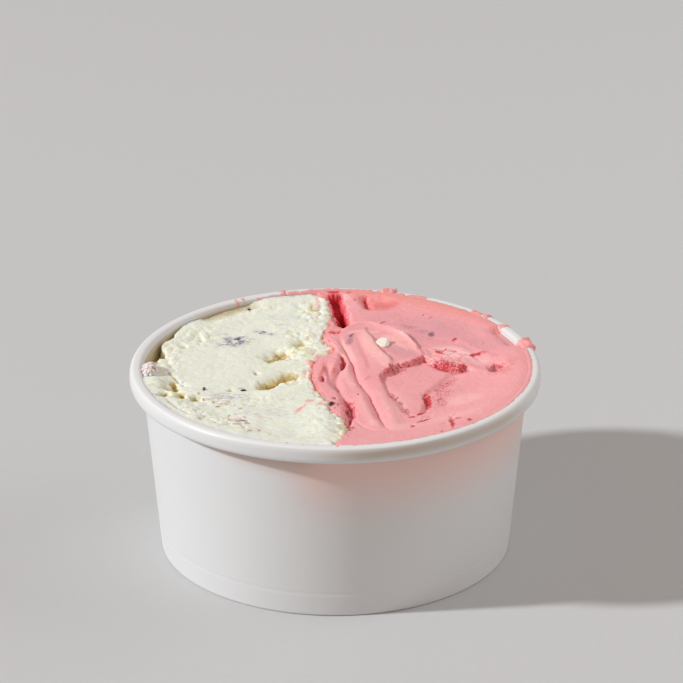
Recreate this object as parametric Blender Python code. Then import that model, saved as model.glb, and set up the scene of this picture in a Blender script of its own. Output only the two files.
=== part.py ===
"""A paper tub of two ice creams, side by side: crumbly cream on the left, smooth strawberry on the right.

The tub is a turned shell of paper with a rolled rim. Its foot is folded up inside, and the fold clasps the
skirt of a raised bottom disc. The two ice creams fill the tub from the disc to the rim and meet on one
upright face. A frosted berry piece lies where the cream meets the rim on the left.

Sizes are in millimetres until a mesh is made. The origin is on the table, on the tub's axis, +Z is up and
-Y is the front.
"""
import math

import bmesh
import bpy
import numpy as np
from mathutils.geometry import delaunay_2d_cdt

MM = 0.001                  # metres in a millimetre

# ---- the tub ----
RIM_RADIUS = 57.5           # outside of the rolled rim
TUB_HEIGHT = 53.67          # table to the top of the rim
BASE_RADIUS = 49.5          # outside of the wall at the table
WALL_SPREAD = 0.088         # how much the wall's radius grows for each millimetre of height
PAPER = 0.6                 # wall paper with its coating
ROLL_WIDTH = 3.8            # the rolled rim, across
ROLL_HEIGHT = 4.82          # the rolled rim, top to bottom
ROLL_START = 49.6           # height where the wall starts to bend into the roll
ROLL_START_ANGLE = 165.0    # where the roll leaves the wall
ROLL_END_ANGLE = -125.0     # where the roll's edge stops, short of the wall
ROLL_FORM = 2.9             # 2 is an ellipse, more flattens the roll's top and its outer face
HEM_HEIGHT = 4.7            # the wall's foot, folded up inside
DISC_TOP = 6.2              # upper face of the raised bottom disc
DISC_PAPER = 0.4            # disc paper
DISC_ROUND = 1.0            # the disc's edge rounds down into its skirt over this
DISC_ROUND_ANGLES = (90.0, 45.0, 0.0)
GAP = 0.3                   # room left between touching pieces
AROUND = 72                 # sides of the turned pieces
ROLL_OUTER_FACETS = 13
ROLL_INNER_FACETS = 7

# ---- the ice creams ----
FILL_RADIUS = 52.9          # edge of the ice cream at its top
FILL_ARC = 2.5              # degrees between the points of that edge
FACET_ROOM = 0.05           # the flat sides of the turned wall come this far inwards
EDGE_LAP = 0.35             # the ice cream laps this far up the curve of the roll
# The sides' rings of points: each lies at least this far below the edge, and no higher than this.
SIDE_RINGS = [(0.6, 52.2), (1.2, ROLL_START)]
SEAM_GAP = 0.5              # room between the two ice creams, across
SEAM_STEP = 2.0             # spacing of points along their common face
SURFACE_STEP = 1.9          # spacing of points over the top surfaces
LINE_STEP = 1.0             # and along the smooth lines that distances are measured from
SAME_POINT = 1e-6           # points nearer than this are one point
FOLD_ROOM = 0.7             # least distance between the points that draw folds
TOPPING_ROOM = 0.25         # and between those that draw toppings
GRID_ROOM = 1.5             # and between the points of the plain surface
EDGE_ROOM = 0.015           # share of the radius left free of points along the edge
CREAM_LEVEL = 51.0          # height of the cream's middle
CREAM_RISE = 1.2            # the cream climbs this much from SLOPE_START to SLOPE_END, towards the back
SLOPE_START = 15.0
SLOPE_END = 50.0
CREAM_BRIM = 0.9            # and this much along the wall, from this share of the radius
CREAM_BRIM_START = 0.78
CREAM_FRONT_BRIM = 1.3      # more brim in front of BRIM_FADE
BRIM_FADE = (-12.0, 4.0)
STRAWBERRY_LEVEL = 50.4     # height of the strawberry's middle
BOWL_RISE = 2.85            # the strawberry rises this much to the rim, from this share of the radius
BOWL_START = 0.62
BOWL_FORM = 1.5
BOWL_BACK_RISE = 0.3        # more rise behind BOWL_FADE
BOWL_FADE = (-40.0, 10.0)
WALL_SKIN = 1.6             # the ice cream left on the wall where a crevice runs up to it
SEAM_DROP = 0.4             # the edges along the seam fall away by this
SEAM_ROUND = 1.5            # over this distance from it

# The line where the two ice creams meet, seen from above, from the back of the tub to its front.
SEAM = [(-8.6, 55.0), (-5.4, 53.4), (-2.9, 50.0), (-2.2, 46.0), (-1.6, 42.8), (-1.0, 39.0), (-1.6, 32.6),
        (-3.2, 24.3), (0.2, 15.5), (-5.0, 8.1), (-6.3, -1.6), (-5.2, -10.5), (-2.4, -19.0), (-1.0, -26.0),
        (1.6, -30.5), (3.2, -39.0), (1.2, -48.0), (1.0, -55.0)]

# Trenches in the surfaces: points along each, its depth (less than 0 for a ridge), the width of its left
# and its right bank as one walks along it, and the bank's form: 1 a sharp crease, 2 a rounded groove and
# 4 a slot.
TRENCH_FADE = 0.2           # a trench fades over this share of its length at both ends
TRENCH_END = 0.15           # down to this share of its depth
STRAWBERRY_TRENCHES = {
    "back crevice": ([(-1.4, 59.0), (-0.6, 54.0), (0.5, 46.0), (1.4, 40.0), (1.9, 36.0), (2.2, 32.0)],
                     3.4, 1.9, 2.0, 3),
    "crevice's deep end": ([(0.8, 46.0), (1.9, 40.0), (2.5, 35.0), (2.6, 32.6)], 2.0, 1.3, 1.2, 3),
    "back hollow": ([(8.4, 51.5), (9.0, 47.0), (10.4, 43.0)], 2.0, 1.1, 1.3, 2),
    "back hollow floor": ([(13.4, 52.0), (12.8, 44.5)], 1.0, 2.8, 3.4, 3),
    "long crease": ([(0.8, 25.0), (2.4, 16.0), (4.6, 6.0), (6.3, -5.0), (9.2, -13.5), (10.6, -20.0),
                     (13.0, -33.0), (15.0, -40.0)], 1.15, 0.6, 1.0, 1),
    "short crease": ([(1.4, 11.5), (2.4, 6.5), (2.0, 1.0)], 1.9, 0.7, 0.7, 2),
    "bulge groove": ([(-2.4, 5.0), (-1.8, -3.0), (-0.6, -9.0), (1.4, -14.5)], 0.9, 1.2, 0.9, 2),
    "seam crevice": ([(2.0, -14.5), (3.8, -20.0), (4.4, -26.0), (3.9, -31.0), (3.4, -36.0)],
                     1.6, 0.9, 1.6, 2),
    "torn pit": ([(43.9, 4.6), (45.0, 1.6), (46.2, -1.2)], 1.6, 1.5, 1.5, 2),
    "scoop edge": ([(36.0, 2.2), (32.7, -0.8), (29.2, -6.9), (25.7, -12.4), (24.0, -13.8)],
                   0.65, 3.2, 0.9, 2),
    "scoop streak": ([(24.0, -12.8), (25.3, -17.0), (25.0, -21.0), (24.4, -25.0), (22.8, -27.4)],
                     0.9, 0.9, 0.7, 2),
    "blade's edge": ([(8.4, 28.0), (9.6, 22.7), (12.1, 13.5), (14.5, 8.1), (16.6, 4.2)], -0.55, 0.6, 3.2, 2),
    "left rib": ([(6.4, -11.0), (7.8, -20.0), (10.2, -31.0), (12.6, -39.0)], -0.5, 1.5, 1.8, 2),
}
CREAM_TRENCHES = {
    "golden crack": ([(-22.0, -11.8), (-18.6, -10.8), (-15.3, -7.8), (-12.6, -4.6), (-8.8, 0.2)],
                     3.0, 4.2, 0.6, 2),
    "upper crack": ([(-18.8, 7.0), (-15.7, 10.4), (-12.7, 14.6)], 2.3, 3.4, 0.7, 2),
    "side crack": ([(-11.4, 18.4), (-7.6, 21.4)], 1.4, 2.4, 0.7, 2),
    "left hole": ([(-45.6, -7.0), (-44.7, -10.2), (-45.0, -13.0), (-47.6, -14.8)], 1.8, 1.5, 1.2, 2),
    "front hole": ([(-47.4, -18.2), (-46.4, -21.2)], 1.6, 1.7, 1.7, 2),
    "small hole": ([(-42.0, -13.4), (-42.6, -17.0), (-42.3, -20.8)], 1.8, 1.7, 1.5, 2),
    "third hole": ([(-38.8, -16.8), (-37.6, -20.6)], 1.2, 1.5, 1.2, 2),
    "left mound": ([(-49.6, -8.0), (-50.0, -15.0)], -0.7, 2.2, 2.2, 2),
    "middle mound": ([(-44.7, -16.6), (-44.5, -20.6)], -0.8, 1.3, 1.3, 2),
    "right mound": ([(-40.3, -14.6), (-40.0, -20.6)], -0.7, 1.2, 1.2, 2),
    "berry's seat": ([(-51.1, -11.0), (-51.1, -2.8), (-51.1, 5.5)], 2.5, 3.2, 4.0, 3),
}
BRINK = 1.5                 # a bank's brink lies this many bank widths from the trench's line
STEEP_BRINK = 1.25          # and closer by on a bank of form 3 or 4

# The strawberry's spatula fold: a flap lying over the surface, its tip towards the right.
FLAP = [(-5.0, 20.0), (0.5, 25.5), (4.0, 30.5), (9.0, 32.7), (13.0, 30.4), (17.0, 27.3), (20.0, 23.8),
        (22.0, 18.8), (23.6, 14.6), (25.0, 10.0), (21.5, 6.0), (17.0, 3.6), (14.5, 0.2), (12.6, -4.0),
        (13.8, -10.0), (16.0, -17.0), (18.0, -23.0), (19.8, -30.0), (18.0, -46.0), (-8.0, -46.0)]
FLAP_EDGE = 0.6             # how far the flap's edge takes to drop
FLAP_LIFT = 1.3             # its height over the surface at the tub's middle
FLAP_TIP_GAIN = 0.035       # more lift for each millimetre to the right
FLAP_BACK_GAIN = 0.0175     # more lift for each millimetre to the back
FLAP_FADE = (-20.0, 4.0)    # it sinks into the surface between these, towards the front

# Right of the flap's smooth blade the flap is scraped lower, down to its cliff.
RECESS = [(8.9, 28.4), (10.2, 22.7), (12.7, 13.5), (15.1, 8.1), (17.5, 2.0), (26.0, 4.0), (25.5, 11.0),
          (22.4, 17.0), (19.6, 22.4), (16.0, 26.2), (12.0, 29.0)]
RECESS_DEPTH = 0.55
RECESS_EDGE = 0.7

# Behind and beside the flap the surface lies higher: first a torn cliff, then a soft step further back.
PLATEAU = [(-6.0, 31.0), (8.0, 27.0), (20.0, 17.0), (24.0, 11.0), (28.4, 5.8), (31.4, 3.0), (34.4, 1.6),
           (36.7, 3.0), (41.0, 1.0), (46.0, 4.0), (58.0, 8.4), (56.0, 56.0), (-6.0, 57.0)]
PLATEAU_LIFT = 1.45
PLATEAU_EDGE = 0.6
PLATEAU_FADE = (34.5, 43.0) # it ends between these, towards the right
REAR = [(16.0, 32.0), (28.2, 22.3), (33.6, 19.9), (38.0, 15.3), (41.3, 11.2), (44.3, 8.2), (49.9, 8.8),
        (58.0, 8.8), (56.0, 56.0), (16.0, 57.0)]
REAR_LIFT = 0.4
REAR_GAIN = 0.9             # more lift towards the right
REAR_EDGE = 1.1
REAR_GROWS = (22.0, 30.0)   # it begins between these, towards the right
RIM_FADE = (0.72, 0.97)     # both sink to the rim's height between these shares of the radius

# The small bulge of strawberry that laps over the cream beside the flap.
BULGE = [(-0.3, 7.3), (-3.8, 5.6), (-7.5, 2.0), (-8.5, -5.0), (-7.0, -12.0), (-4.5, -18.0), (-2.5, -24.0),
         (-0.5, -29.0), (2.2, -29.5), (2.2, -22.0), (1.0, -15.0), (-0.6, -8.0), (-0.2, -1.0), (0.9, 4.5)]
BULGE_LIFT = 0.7
BULGE_EDGE = 0.8

# Toppings stuck in the surface: middle x, y, half length, half width, turn in degrees, height.
WHITE_CHIP = (13.4, 17.6, 2.1, 1.75, 70.0, 1.6)
STRAWBERRY_SEEDS = [(-1.0, -22.2, 1.1, 0.65, 60.0, 0.5)]
CREAM_SEEDS = [(-36.3, -12.2, 0.75, 0.5, 100.0, 0.4), (-25.4, -12.8, 0.8, 0.45, 60.0, 0.35)]
TOPPING_TOP = 0.75          # a topping is flat up to this share of its half sizes
TOPPING_FOOT = 1.05         # and its sides reach down to this share
TOPPING_SIDES = 8

# The lip of the gap along the wall at the back left, from the back to the front, and the gap's depth.
GAP_LIP = [(-41.0, 35.5), (-43.8, 31.4), (-45.2, 28.3), (-45.7, 25.5), (-46.4, 23.0), (-47.6, 21.3),
           (-49.1, 18.2), (-49.0, 14.5), (-47.8, 11.4), (-48.2, 9.2), (-49.9, 8.2), (-50.4, 5.0),
           (-51.6, 1.0), (-53.5, -2.0)]
GAP_DEPTH = 3.6
GAP_REACH = 46.0            # it lies further out than this
GAP_BANK = (-0.2, 0.9)      # its side drops between these distances beyond the lip

# Shallow dips along the wall, at the back of the cream and at the right of the strawberry: both ends in
# degrees from +X, over how many degrees each end fades, the depth at the wall, and the width.
CREAM_DIP = ((112.0, 142.0), 8.0, 1.2, 4.5)
STRAWBERRY_DIP = ((14.0, 32.0), 4.0, 1.7, 2.2)
DIP_POINTS = 7              # points along a dip's brink
DIP_BANK = 1.5              # how far on either side of the brink they have neighbours

# ---- the frosted berry piece ----
BERRY_MIDDLE = (-50.95, -2.8, 52.6)
BERRY_HALF = (2.45, 4.6, 1.9)
BERRY_TILT = -14.0          # degrees, its left end up on the rim
BEAD_LIFT = 0.11            # how far its drupelets stand out
BEAD_WAVES = (6.0, 9.0, 7.0)
BEAD_TURN = 0.6


# ---- shapes from a few numbers ----

def smoothstep(low, high, value):
    """Runs from 0 to 1 between two values, level at both ends."""
    t = np.clip((value - low) / (high - low), 0.0, 1.0)
    return t * t * (3.0 - 2.0 * t)


def smooth_line(points, step, closed=False):
    """A smooth curve through the points, with a point about every step."""
    p = np.array(points, dtype=float)
    if closed:
        p = np.vstack([p[-1], p, p[0], p[1]])
    else:
        p = np.vstack([2 * p[0] - p[1], p, 2 * p[-1] - p[-2]])
    line = []
    for a, b, c, d in zip(p, p[1:], p[2:], p[3:]):
        count = max(2, math.ceil(math.dist(b, c) / step))
        for t in np.arange(count) / count:
            bend = (2 * a - 5 * b + 4 * c - d) * t * t + (3 * b - a - 3 * c + d) * t ** 3
            line.append(0.5 * (2 * b + (c - a) * t + bend))
    line.append(p[-2])
    return np.array(line)


def from_line(x, y, line):
    """Distance to the left of a line, negative to its right, and how far along it, from 0 to 1."""
    best = np.full(x.shape, 1e9)
    side = np.ones(x.shape)
    along = np.zeros(x.shape)
    runs = np.linalg.norm(np.diff(line, axis=0), axis=1)
    starts = np.concatenate([[0.0], np.cumsum(runs)])
    for (ax, ay), (bx, by), run, start in zip(line, line[1:], runs, starts):
        ux, uy = (bx - ax) / run, (by - ay) / run
        t = np.clip((x - ax) * ux + (y - ay) * uy, 0.0, run)
        dx, dy = x - ax - t * ux, y - ay - t * uy
        distance = np.hypot(dx, dy)
        nearer = distance < best
        best = np.where(nearer, distance, best)
        side = np.where(nearer, np.sign(ux * (y - ay) - uy * (x - ax)), side)
        along = np.where(nearer, (start + t) / starts[-1], along)
    return best * np.where(side < 0, -1.0, 1.0), along


def inside(x, y, outline):
    """True where a point lies inside a closed outline."""
    odd = np.zeros(x.shape, dtype=bool)
    for (ax, ay), (bx, by) in zip(outline, np.roll(outline, -1, axis=0)):
        spans = (ay > y) != (by > y)
        if by != ay:
            odd ^= spans & (x < ax + (y - ay) * (bx - ax) / (by - ay))
    return odd


def trench_depth(x, y, trench):
    """How deep a trench is at a point: full along its line, none past its banks, fading at its ends."""
    points, depth, left, right, form = trench
    across, along = from_line(x, y, smooth_line(points, LINE_STEP))
    bank = np.where(across > 0, left, right)
    fade = smoothstep(0.0, TRENCH_FADE, along) * smoothstep(0.0, TRENCH_FADE, 1.0 - along)
    return depth * np.exp(-(np.abs(across) / bank) ** form) * (TRENCH_END + (1.0 - TRENCH_END) * fade)


def cover(x, y, outline, edge):
    """1 inside an outline, 0 outside it, with a soft edge."""
    loop = smooth_line(outline, LINE_STEP, closed=True)
    distance = np.abs(from_line(x, y, loop)[0])
    return smoothstep(-edge, edge, np.where(inside(x, y, loop[:-1]), distance, -distance))


def bump(x, y, topping):
    """Height of a topping above the surface: flat on top, with steep sides."""
    cx, cy, long, wide, turn, height = topping
    c, s = math.cos(math.radians(turn)), math.sin(math.radians(turn))
    u = ((x - cx) * c + (y - cy) * s) / long
    v = ((y - cy) * c - (x - cx) * s) / wide
    return height * (1.0 - smoothstep(TOPPING_TOP, TOPPING_FOOT, np.hypot(u, v)))


def seam_x(y):
    """Where the two ice creams meet, at each distance from the front."""
    line = smooth_line(SEAM, LINE_STEP)[::-1]
    return np.interp(y, line[:, 1], line[:, 0])


def seam_drop(x, y, side):
    """How far an ice cream's edge along the seam has sunk."""
    from_seam = np.clip(side * (x - seam_x(y)), 0.0, None)
    return SEAM_DROP * (1.0 - smoothstep(0.0, SEAM_ROUND, from_seam)) ** 2


def wall_dip(x, y, dip):
    """How deep a dip is: full at the wall in its middle, fading inwards and towards both its ends."""
    (low, high), fade, depth, width = dip
    turn = np.degrees(np.arctan2(y, x)) % 360.0
    ends = smoothstep(low, low + fade, turn) * (1.0 - smoothstep(high - fade, high, turn))
    return depth * ends * np.exp(-((FILL_RADIUS - np.hypot(x, y)) / width) ** 2)


def strawberry_body(x, y):
    """The strawberry's large forms: a shallow bowl up to the rim, the flap, the plateau and the bulge."""
    reach = np.hypot(x, y) / FILL_RADIUS
    rise = BOWL_RISE + BOWL_BACK_RISE * smoothstep(*BOWL_FADE, y)
    z = STRAWBERRY_LEVEL + rise * smoothstep(BOWL_START, 1.0, reach) ** BOWL_FORM
    on_flap = cover(x, y, FLAP, FLAP_EDGE)
    lift = (FLAP_LIFT + FLAP_TIP_GAIN * x + FLAP_BACK_GAIN * y) * smoothstep(*FLAP_FADE, y)
    z = z + (lift - RECESS_DEPTH * cover(x, y, RECESS, RECESS_EDGE)) * on_flap
    fade = smoothstep(*PLATEAU_FADE, x)
    rear = (REAR_LIFT * smoothstep(*REAR_GROWS, x) + REAR_GAIN * fade) * cover(x, y, REAR, REAR_EDGE)
    plateau = PLATEAU_LIFT * cover(x, y, PLATEAU, PLATEAU_EDGE) * (1.0 - fade) + rear
    z = z + plateau * (1.0 - smoothstep(*RIM_FADE, reach)) * (1.0 - on_flap)
    return z + BULGE_LIFT * cover(x, y, BULGE, BULGE_EDGE)


def strawberry_height(x, y):
    """The strawberry's surface with its trenches and toppings."""
    z = strawberry_body(x, y) - wall_dip(x, y, STRAWBERRY_DIP)
    off_wall = smoothstep(0.0, WALL_SKIN, FILL_RADIUS - np.hypot(x, y))
    for trench in STRAWBERRY_TRENCHES.values():
        z = z - trench_depth(x, y, trench) * off_wall
    for topping in [WHITE_CHIP] + STRAWBERRY_SEEDS:
        z = z + bump(x, y, topping)
    return z - seam_drop(x, y, 1)


def wall_gap(x, y):
    """1 where the cream has come away from the wall at the back left, beyond the gap's lip."""
    beyond_lip = -from_line(x, y, smooth_line(GAP_LIP, LINE_STEP))[0]
    return smoothstep(*GAP_BANK, beyond_lip) * (np.hypot(x, y) > GAP_REACH)


def cream_height(x, y):
    """The cream's surface: almost level, higher along the wall and at the back, with its gap and cracks."""
    reach = np.hypot(x, y) / FILL_RADIUS
    brim = CREAM_BRIM + CREAM_FRONT_BRIM * (1.0 - smoothstep(*BRIM_FADE, y))
    z = CREAM_LEVEL + brim * smoothstep(CREAM_BRIM_START, 1.0, reach)
    z = z + CREAM_RISE * smoothstep(SLOPE_START, SLOPE_END, y)
    z = z - GAP_DEPTH * wall_gap(x, y) - wall_dip(x, y, CREAM_DIP)
    for trench in CREAM_TRENCHES.values():
        z = z - trench_depth(x, y, trench)
    for topping in CREAM_SEEDS:
        z = z + bump(x, y, topping)
    return z - seam_drop(x, y, -1)


# ---- where the surfaces have their points ----

def trench_points(trench):
    """Points along a trench's floor and both its brinks."""
    points, _, left, right, form = trench
    line = smooth_line(points, SURFACE_STEP)
    ahead = np.gradient(line, axis=0)
    ahead /= np.linalg.norm(ahead, axis=1)[:, None]
    normal = np.column_stack([-ahead[:, 1], ahead[:, 0]])
    brink = STEEP_BRINK if form > 2 else BRINK
    return np.vstack([line, line + normal * left * brink, line - normal * right * brink])


def edge_points(outline, edge):
    """Points along an outline, just inside and just outside its soft edge."""
    loop = smooth_line(outline, SURFACE_STEP, closed=True)[:-1]
    ahead = np.roll(loop, -1, axis=0) - np.roll(loop, 1, axis=0)
    ahead /= np.linalg.norm(ahead, axis=1)[:, None]
    normal = np.column_stack([-ahead[:, 1], ahead[:, 0]])
    return np.vstack([loop + normal * edge, loop - normal * edge])


def topping_points(topping):
    """A topping's middle, the rim of its flat top and the foot of its sides."""
    cx, cy, long, wide, turn, _ = topping
    c, s = math.cos(math.radians(turn)), math.sin(math.radians(turn))
    points = [(cx, cy)]
    for size in (TOPPING_TOP, TOPPING_FOOT):
        for step in range(TOPPING_SIDES):
            angle = 2 * math.pi * step / TOPPING_SIDES
            u = size * long * math.cos(angle)
            v = size * wide * math.sin(angle)
            points.append((cx + u * c - v * s, cy + u * s + v * c))
    return np.array(points)


def grid_points():
    """A grid of points in offset rows over the whole tub."""
    rows = []
    for row, y in enumerate(np.arange(-FILL_RADIUS, FILL_RADIUS, SURFACE_STEP * math.sqrt(0.75))):
        xs = np.arange(-FILL_RADIUS, FILL_RADIUS, SURFACE_STEP) + (row % 2) * SURFACE_STEP / 2
        rows.append(np.column_stack([xs, np.full(xs.shape, y)]))
    return np.vstack(rows)


def thin_out(points, kept, room):
    """Adds the points that keep their distance from those already kept."""
    for point in points:
        if np.min(np.hypot(*(kept - point).T)) >= room:
            kept = np.vstack([kept, point])
    return kept


def rim_loop(side, height):
    """The edge of one ice cream seen from above: along the wall, then back along the seam."""
    seam_ends = []
    for y in (-FILL_RADIUS, FILL_RADIUS):
        x = seam_x(y) + side * SEAM_GAP / 2
        seam_ends.append(math.degrees(math.atan2(y, x)) % 360.0)
    front, back = seam_ends
    start, stop = (front - 360.0, back) if side > 0 else (back, front)
    count = round((stop - start) / FILL_ARC)
    turns = np.radians(np.linspace(start, stop, count + 1))
    wall = np.column_stack([np.cos(turns), np.sin(turns)])
    z = height(*(FILL_RADIUS * wall.T))
    lowest_near = np.minimum(z, np.minimum(np.roll(z, 1), np.roll(z, -1)))
    wall *= (inner_radius(lowest_near - EDGE_LAP) - GAP - FACET_ROOM)[:, None]
    ys = np.linspace(wall[-1][1], wall[0][1], round(2 * FILL_RADIUS / SEAM_STEP))[1:-1]
    seam = np.column_stack([seam_x(ys) + side * SEAM_GAP / 2, ys])
    return wall, seam


def surface_points(side, loop, trenches, outlines, toppings):
    """All the points inside an ice cream's edge, those that draw its folds first."""
    groups = [(topping_points(topping), TOPPING_ROOM) for topping in toppings]
    groups += [(trench_points(trench), FOLD_ROOM) for trench in trenches]
    groups += [(edge_points(outline, edge), FOLD_ROOM) for outline, edge in outlines]
    groups.append((grid_points(), GRID_ROOM))
    kept = loop
    for points, room in groups:
        off_seam = np.abs(points[:, 0] - seam_x(points[:, 1]) - side * SEAM_GAP / 2) > FOLD_ROOM
        ours = inside(points[:, 0], points[:, 1], (1.0 - EDGE_ROOM) * loop) & off_seam
        kept = thin_out(points[ours], kept, room)
    return kept


# ---- Blender objects ----

def clear_scene():
    for thing in list(bpy.data.objects):
        bpy.data.objects.remove(thing, do_unlink=True)


def paint(name, colour, roughness):
    """A plain Principled material."""
    material = bpy.data.materials.new(name)
    material.use_nodes = True
    shader = material.node_tree.nodes["Principled BSDF"]
    shader.inputs["Base Color"].default_value = (*colour, 1.0)
    shader.inputs["Roughness"].default_value = roughness
    shader.inputs["Metallic"].default_value = 0.0
    return material


def add_object(name, bm, material, parent, sharp_angle=40.0):
    """Turns a finished bmesh, in millimetres, into a smooth shaded object in metres."""
    bmesh.ops.recalc_face_normals(bm, faces=bm.faces)
    bmesh.ops.scale(bm, vec=(MM, MM, MM), verts=bm.verts)
    mesh = bpy.data.meshes.new(name)
    bm.to_mesh(mesh)
    bm.free()
    mesh.shade_smooth()
    mesh.set_sharp_from_angle(angle=math.radians(sharp_angle))
    mesh.materials.append(material)
    thing = bpy.data.objects.new(name, mesh)
    thing.parent = parent
    bpy.context.collection.objects.link(thing)
    return thing


def turned(profile, closed):
    """A profile of (radius, height) points spun round the tub's axis."""
    bm = bmesh.new()
    verts = [bm.verts.new((r, 0.0, z)) for r, z in profile]
    edges = [bm.edges.new(pair) for pair in zip(verts, verts[1:])]
    if closed:
        edges.append(bm.edges.new((verts[-1], verts[0])))
    bmesh.ops.spin(bm, geom=verts + edges, cent=(0, 0, 0), axis=(0, 0, 1), angle=2 * math.pi,
                   steps=AROUND, use_merge=True)
    bmesh.ops.remove_doubles(bm, verts=bm.verts, dist=0.001)
    return bm


# ---- the tub ----

def wall_radius(z, inwards=0.0):
    """Radius of the wall's outside at a height, or of a face further in."""
    return BASE_RADIUS + WALL_SPREAD * z - inwards


def roll_angles():
    """The angles of the roll's outer facets, from the wall over the top to its free edge."""
    return np.linspace(ROLL_START_ANGLE, ROLL_END_ANGLE, ROLL_OUTER_FACETS)


def inner_radius(z):
    """Radius of the tub's inner face at a height, up to the top of the roll."""
    face = [(wall_radius(PAPER, PAPER), PAPER), (wall_radius(ROLL_START, PAPER), ROLL_START)]
    face += [roll_point(a) for a in roll_angles() if a > 90.0]
    radii, heights = np.array(face).T
    return np.interp(z, heights, radii)


def hem_faces():
    """How far in from the wall's outside the disc's skirt and the folded hem lie."""
    skirt_out = PAPER + GAP
    skirt_in = skirt_out + DISC_PAPER
    hem_out = skirt_in + GAP
    return skirt_out, skirt_in, hem_out, hem_out + PAPER


def roll_point(angle, inwards=0.0):
    """A point on the rolled rim's section: 180 degrees is at the wall, 90 the top, 0 the outside."""
    across = ROLL_WIDTH / 2
    high = ROLL_HEIGHT / 2
    c, s = math.cos(math.radians(angle)), math.sin(math.radians(angle))
    c = math.copysign(abs(c) ** (2 / ROLL_FORM), c)
    s = math.copysign(abs(s) ** (2 / ROLL_FORM), s)
    return (RIM_RADIUS - across + (across - inwards) * c, TUB_HEIGHT - high + (high - inwards) * s)


def wall_profile():
    """The paper's section: foot, hem folded up inside, inner face, roll and outer face."""
    _, _, hem_out, hem_in = hem_faces()
    edge = PAPER / 2
    foot = [(wall_radius(PAPER), PAPER), (wall_radius(0, edge), 0.0), (wall_radius(0, hem_in - edge), 0.0),
            (wall_radius(PAPER, hem_in), PAPER)]
    hem = [(wall_radius(HEM_HEIGHT, hem_in), HEM_HEIGHT), (wall_radius(HEM_HEIGHT, hem_out), HEM_HEIGHT),
           (wall_radius(PAPER, hem_out), PAPER)]
    inner = [(wall_radius(PAPER, PAPER), PAPER), (wall_radius(ROLL_START, PAPER), ROLL_START)]
    roll_out = [roll_point(a) for a in roll_angles()]
    roll_in = [roll_point(a, PAPER) for a in np.linspace(ROLL_END_ANGLE, ROLL_START_ANGLE, ROLL_INNER_FACETS)]
    return foot + hem + inner + roll_out + roll_in + [(wall_radius(ROLL_START), ROLL_START)]


def build_tub_wall(material, parent):
    add_object("tub_wall", turned(wall_profile(), closed=True), material, parent)


def disc_corner(size):
    """Points round the disc's edge, from the flat to the skirt, at a distance from the rounding's middle."""
    skirt_out = hem_faces()[0]
    corner = []
    for angle in DISC_ROUND_ANGLES:
        c, s = math.cos(math.radians(angle)), math.sin(math.radians(angle))
        z = DISC_TOP - DISC_ROUND + size * s
        corner.append((wall_radius(z, skirt_out + DISC_ROUND - size * c), z))
    return corner


def build_tub_bottom(material, parent):
    """A disc with a rounded edge and a skirt that hangs into the wall's hem."""
    skirt_out, skirt_in, _, _ = hem_faces()
    low = PAPER + GAP
    outside = [(0.0, DISC_TOP)] + disc_corner(DISC_ROUND) + [(wall_radius(low, skirt_out), low)]
    underside = [(0.0, DISC_TOP - DISC_PAPER)] + disc_corner(DISC_ROUND - DISC_PAPER)
    underside.append((wall_radius(low, skirt_in), low))
    add_object("tub_bottom", turned(outside + underside[::-1], closed=False), material, parent)


# ---- the ice creams ----

def side_rings(loop, edge_z, on_wall):
    """Rings of points down an ice cream's sides: they follow the tub's inner face and the common face."""
    rings = []
    x, y = loop.T
    reach = np.hypot(x, y)
    for drop, highest in SIDE_RINGS:
        z = np.minimum(edge_z - drop, highest)
        shrink = np.minimum(1.0, (inner_radius(z) - GAP - FACET_ROOM) / reach)
        rings.append(np.column_stack([np.where(on_wall, x * shrink, x), y * shrink, z]))
    floor = DISC_TOP + GAP
    shrink = wall_radius(floor, PAPER + GAP + FACET_ROOM) / reach.max()
    rings.append(np.column_stack([np.where(on_wall, x * shrink, x), y * shrink, np.full(len(x), floor)]))
    return rings


def fill_solid(side, height, trenches, outlines, toppings):
    """One ice cream: its surface, a wall down to the bottom disc all round its edge, and its base."""
    wall, seam = rim_loop(side, height)
    loop = np.vstack([wall, seam])
    points = surface_points(side, loop, trenches, outlines, toppings)
    count = len(loop)
    edges = [(i, (i + 1) % count) for i in range(count)]
    top_xy, _, top_faces, _, _, _ = delaunay_2d_cdt(points.tolist(), edges, [], 1, SAME_POINT)
    base_xy, _, base_faces, _, _, _ = delaunay_2d_cdt(loop.tolist(), edges, [], 1, SAME_POINT)
    xy = np.array([tuple(p) for p in top_xy])
    z = height(xy[:, 0], xy[:, 1])

    bm = bmesh.new()
    top = [bm.verts.new((x, y, h)) for (x, y), h in zip(xy, z)]
    rings = [top[:count]]
    on_wall = (np.arange(count) > 0) & (np.arange(count) < len(wall) - 1)
    for ring in side_rings(loop, z[:count], on_wall):
        rings.append([bm.verts.new(point) for point in ring])
    for face in top_faces:
        bm.faces.new([top[i] for i in face])
    for face in base_faces:
        bm.faces.new([rings[-1][i] for i in reversed(face)])
    for upper, lower in zip(rings, rings[1:]):
        for i, j in edges:
            bm.faces.new([upper[i], lower[i], lower[j], upper[j]])
    bmesh.ops.triangulate(bm, faces=[f for f in bm.faces if len(f.verts) > 3])
    return bm


def brink(dip):
    """The inner edge of a dip as a line without depth, to give it its points."""
    ends, _, _, width = dip
    turns = np.radians(np.linspace(*ends, DIP_POINTS))
    radius = FILL_RADIUS - width
    return ([(radius * math.cos(t), radius * math.sin(t)) for t in turns], 0.0, DIP_BANK, DIP_BANK, 2)


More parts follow.
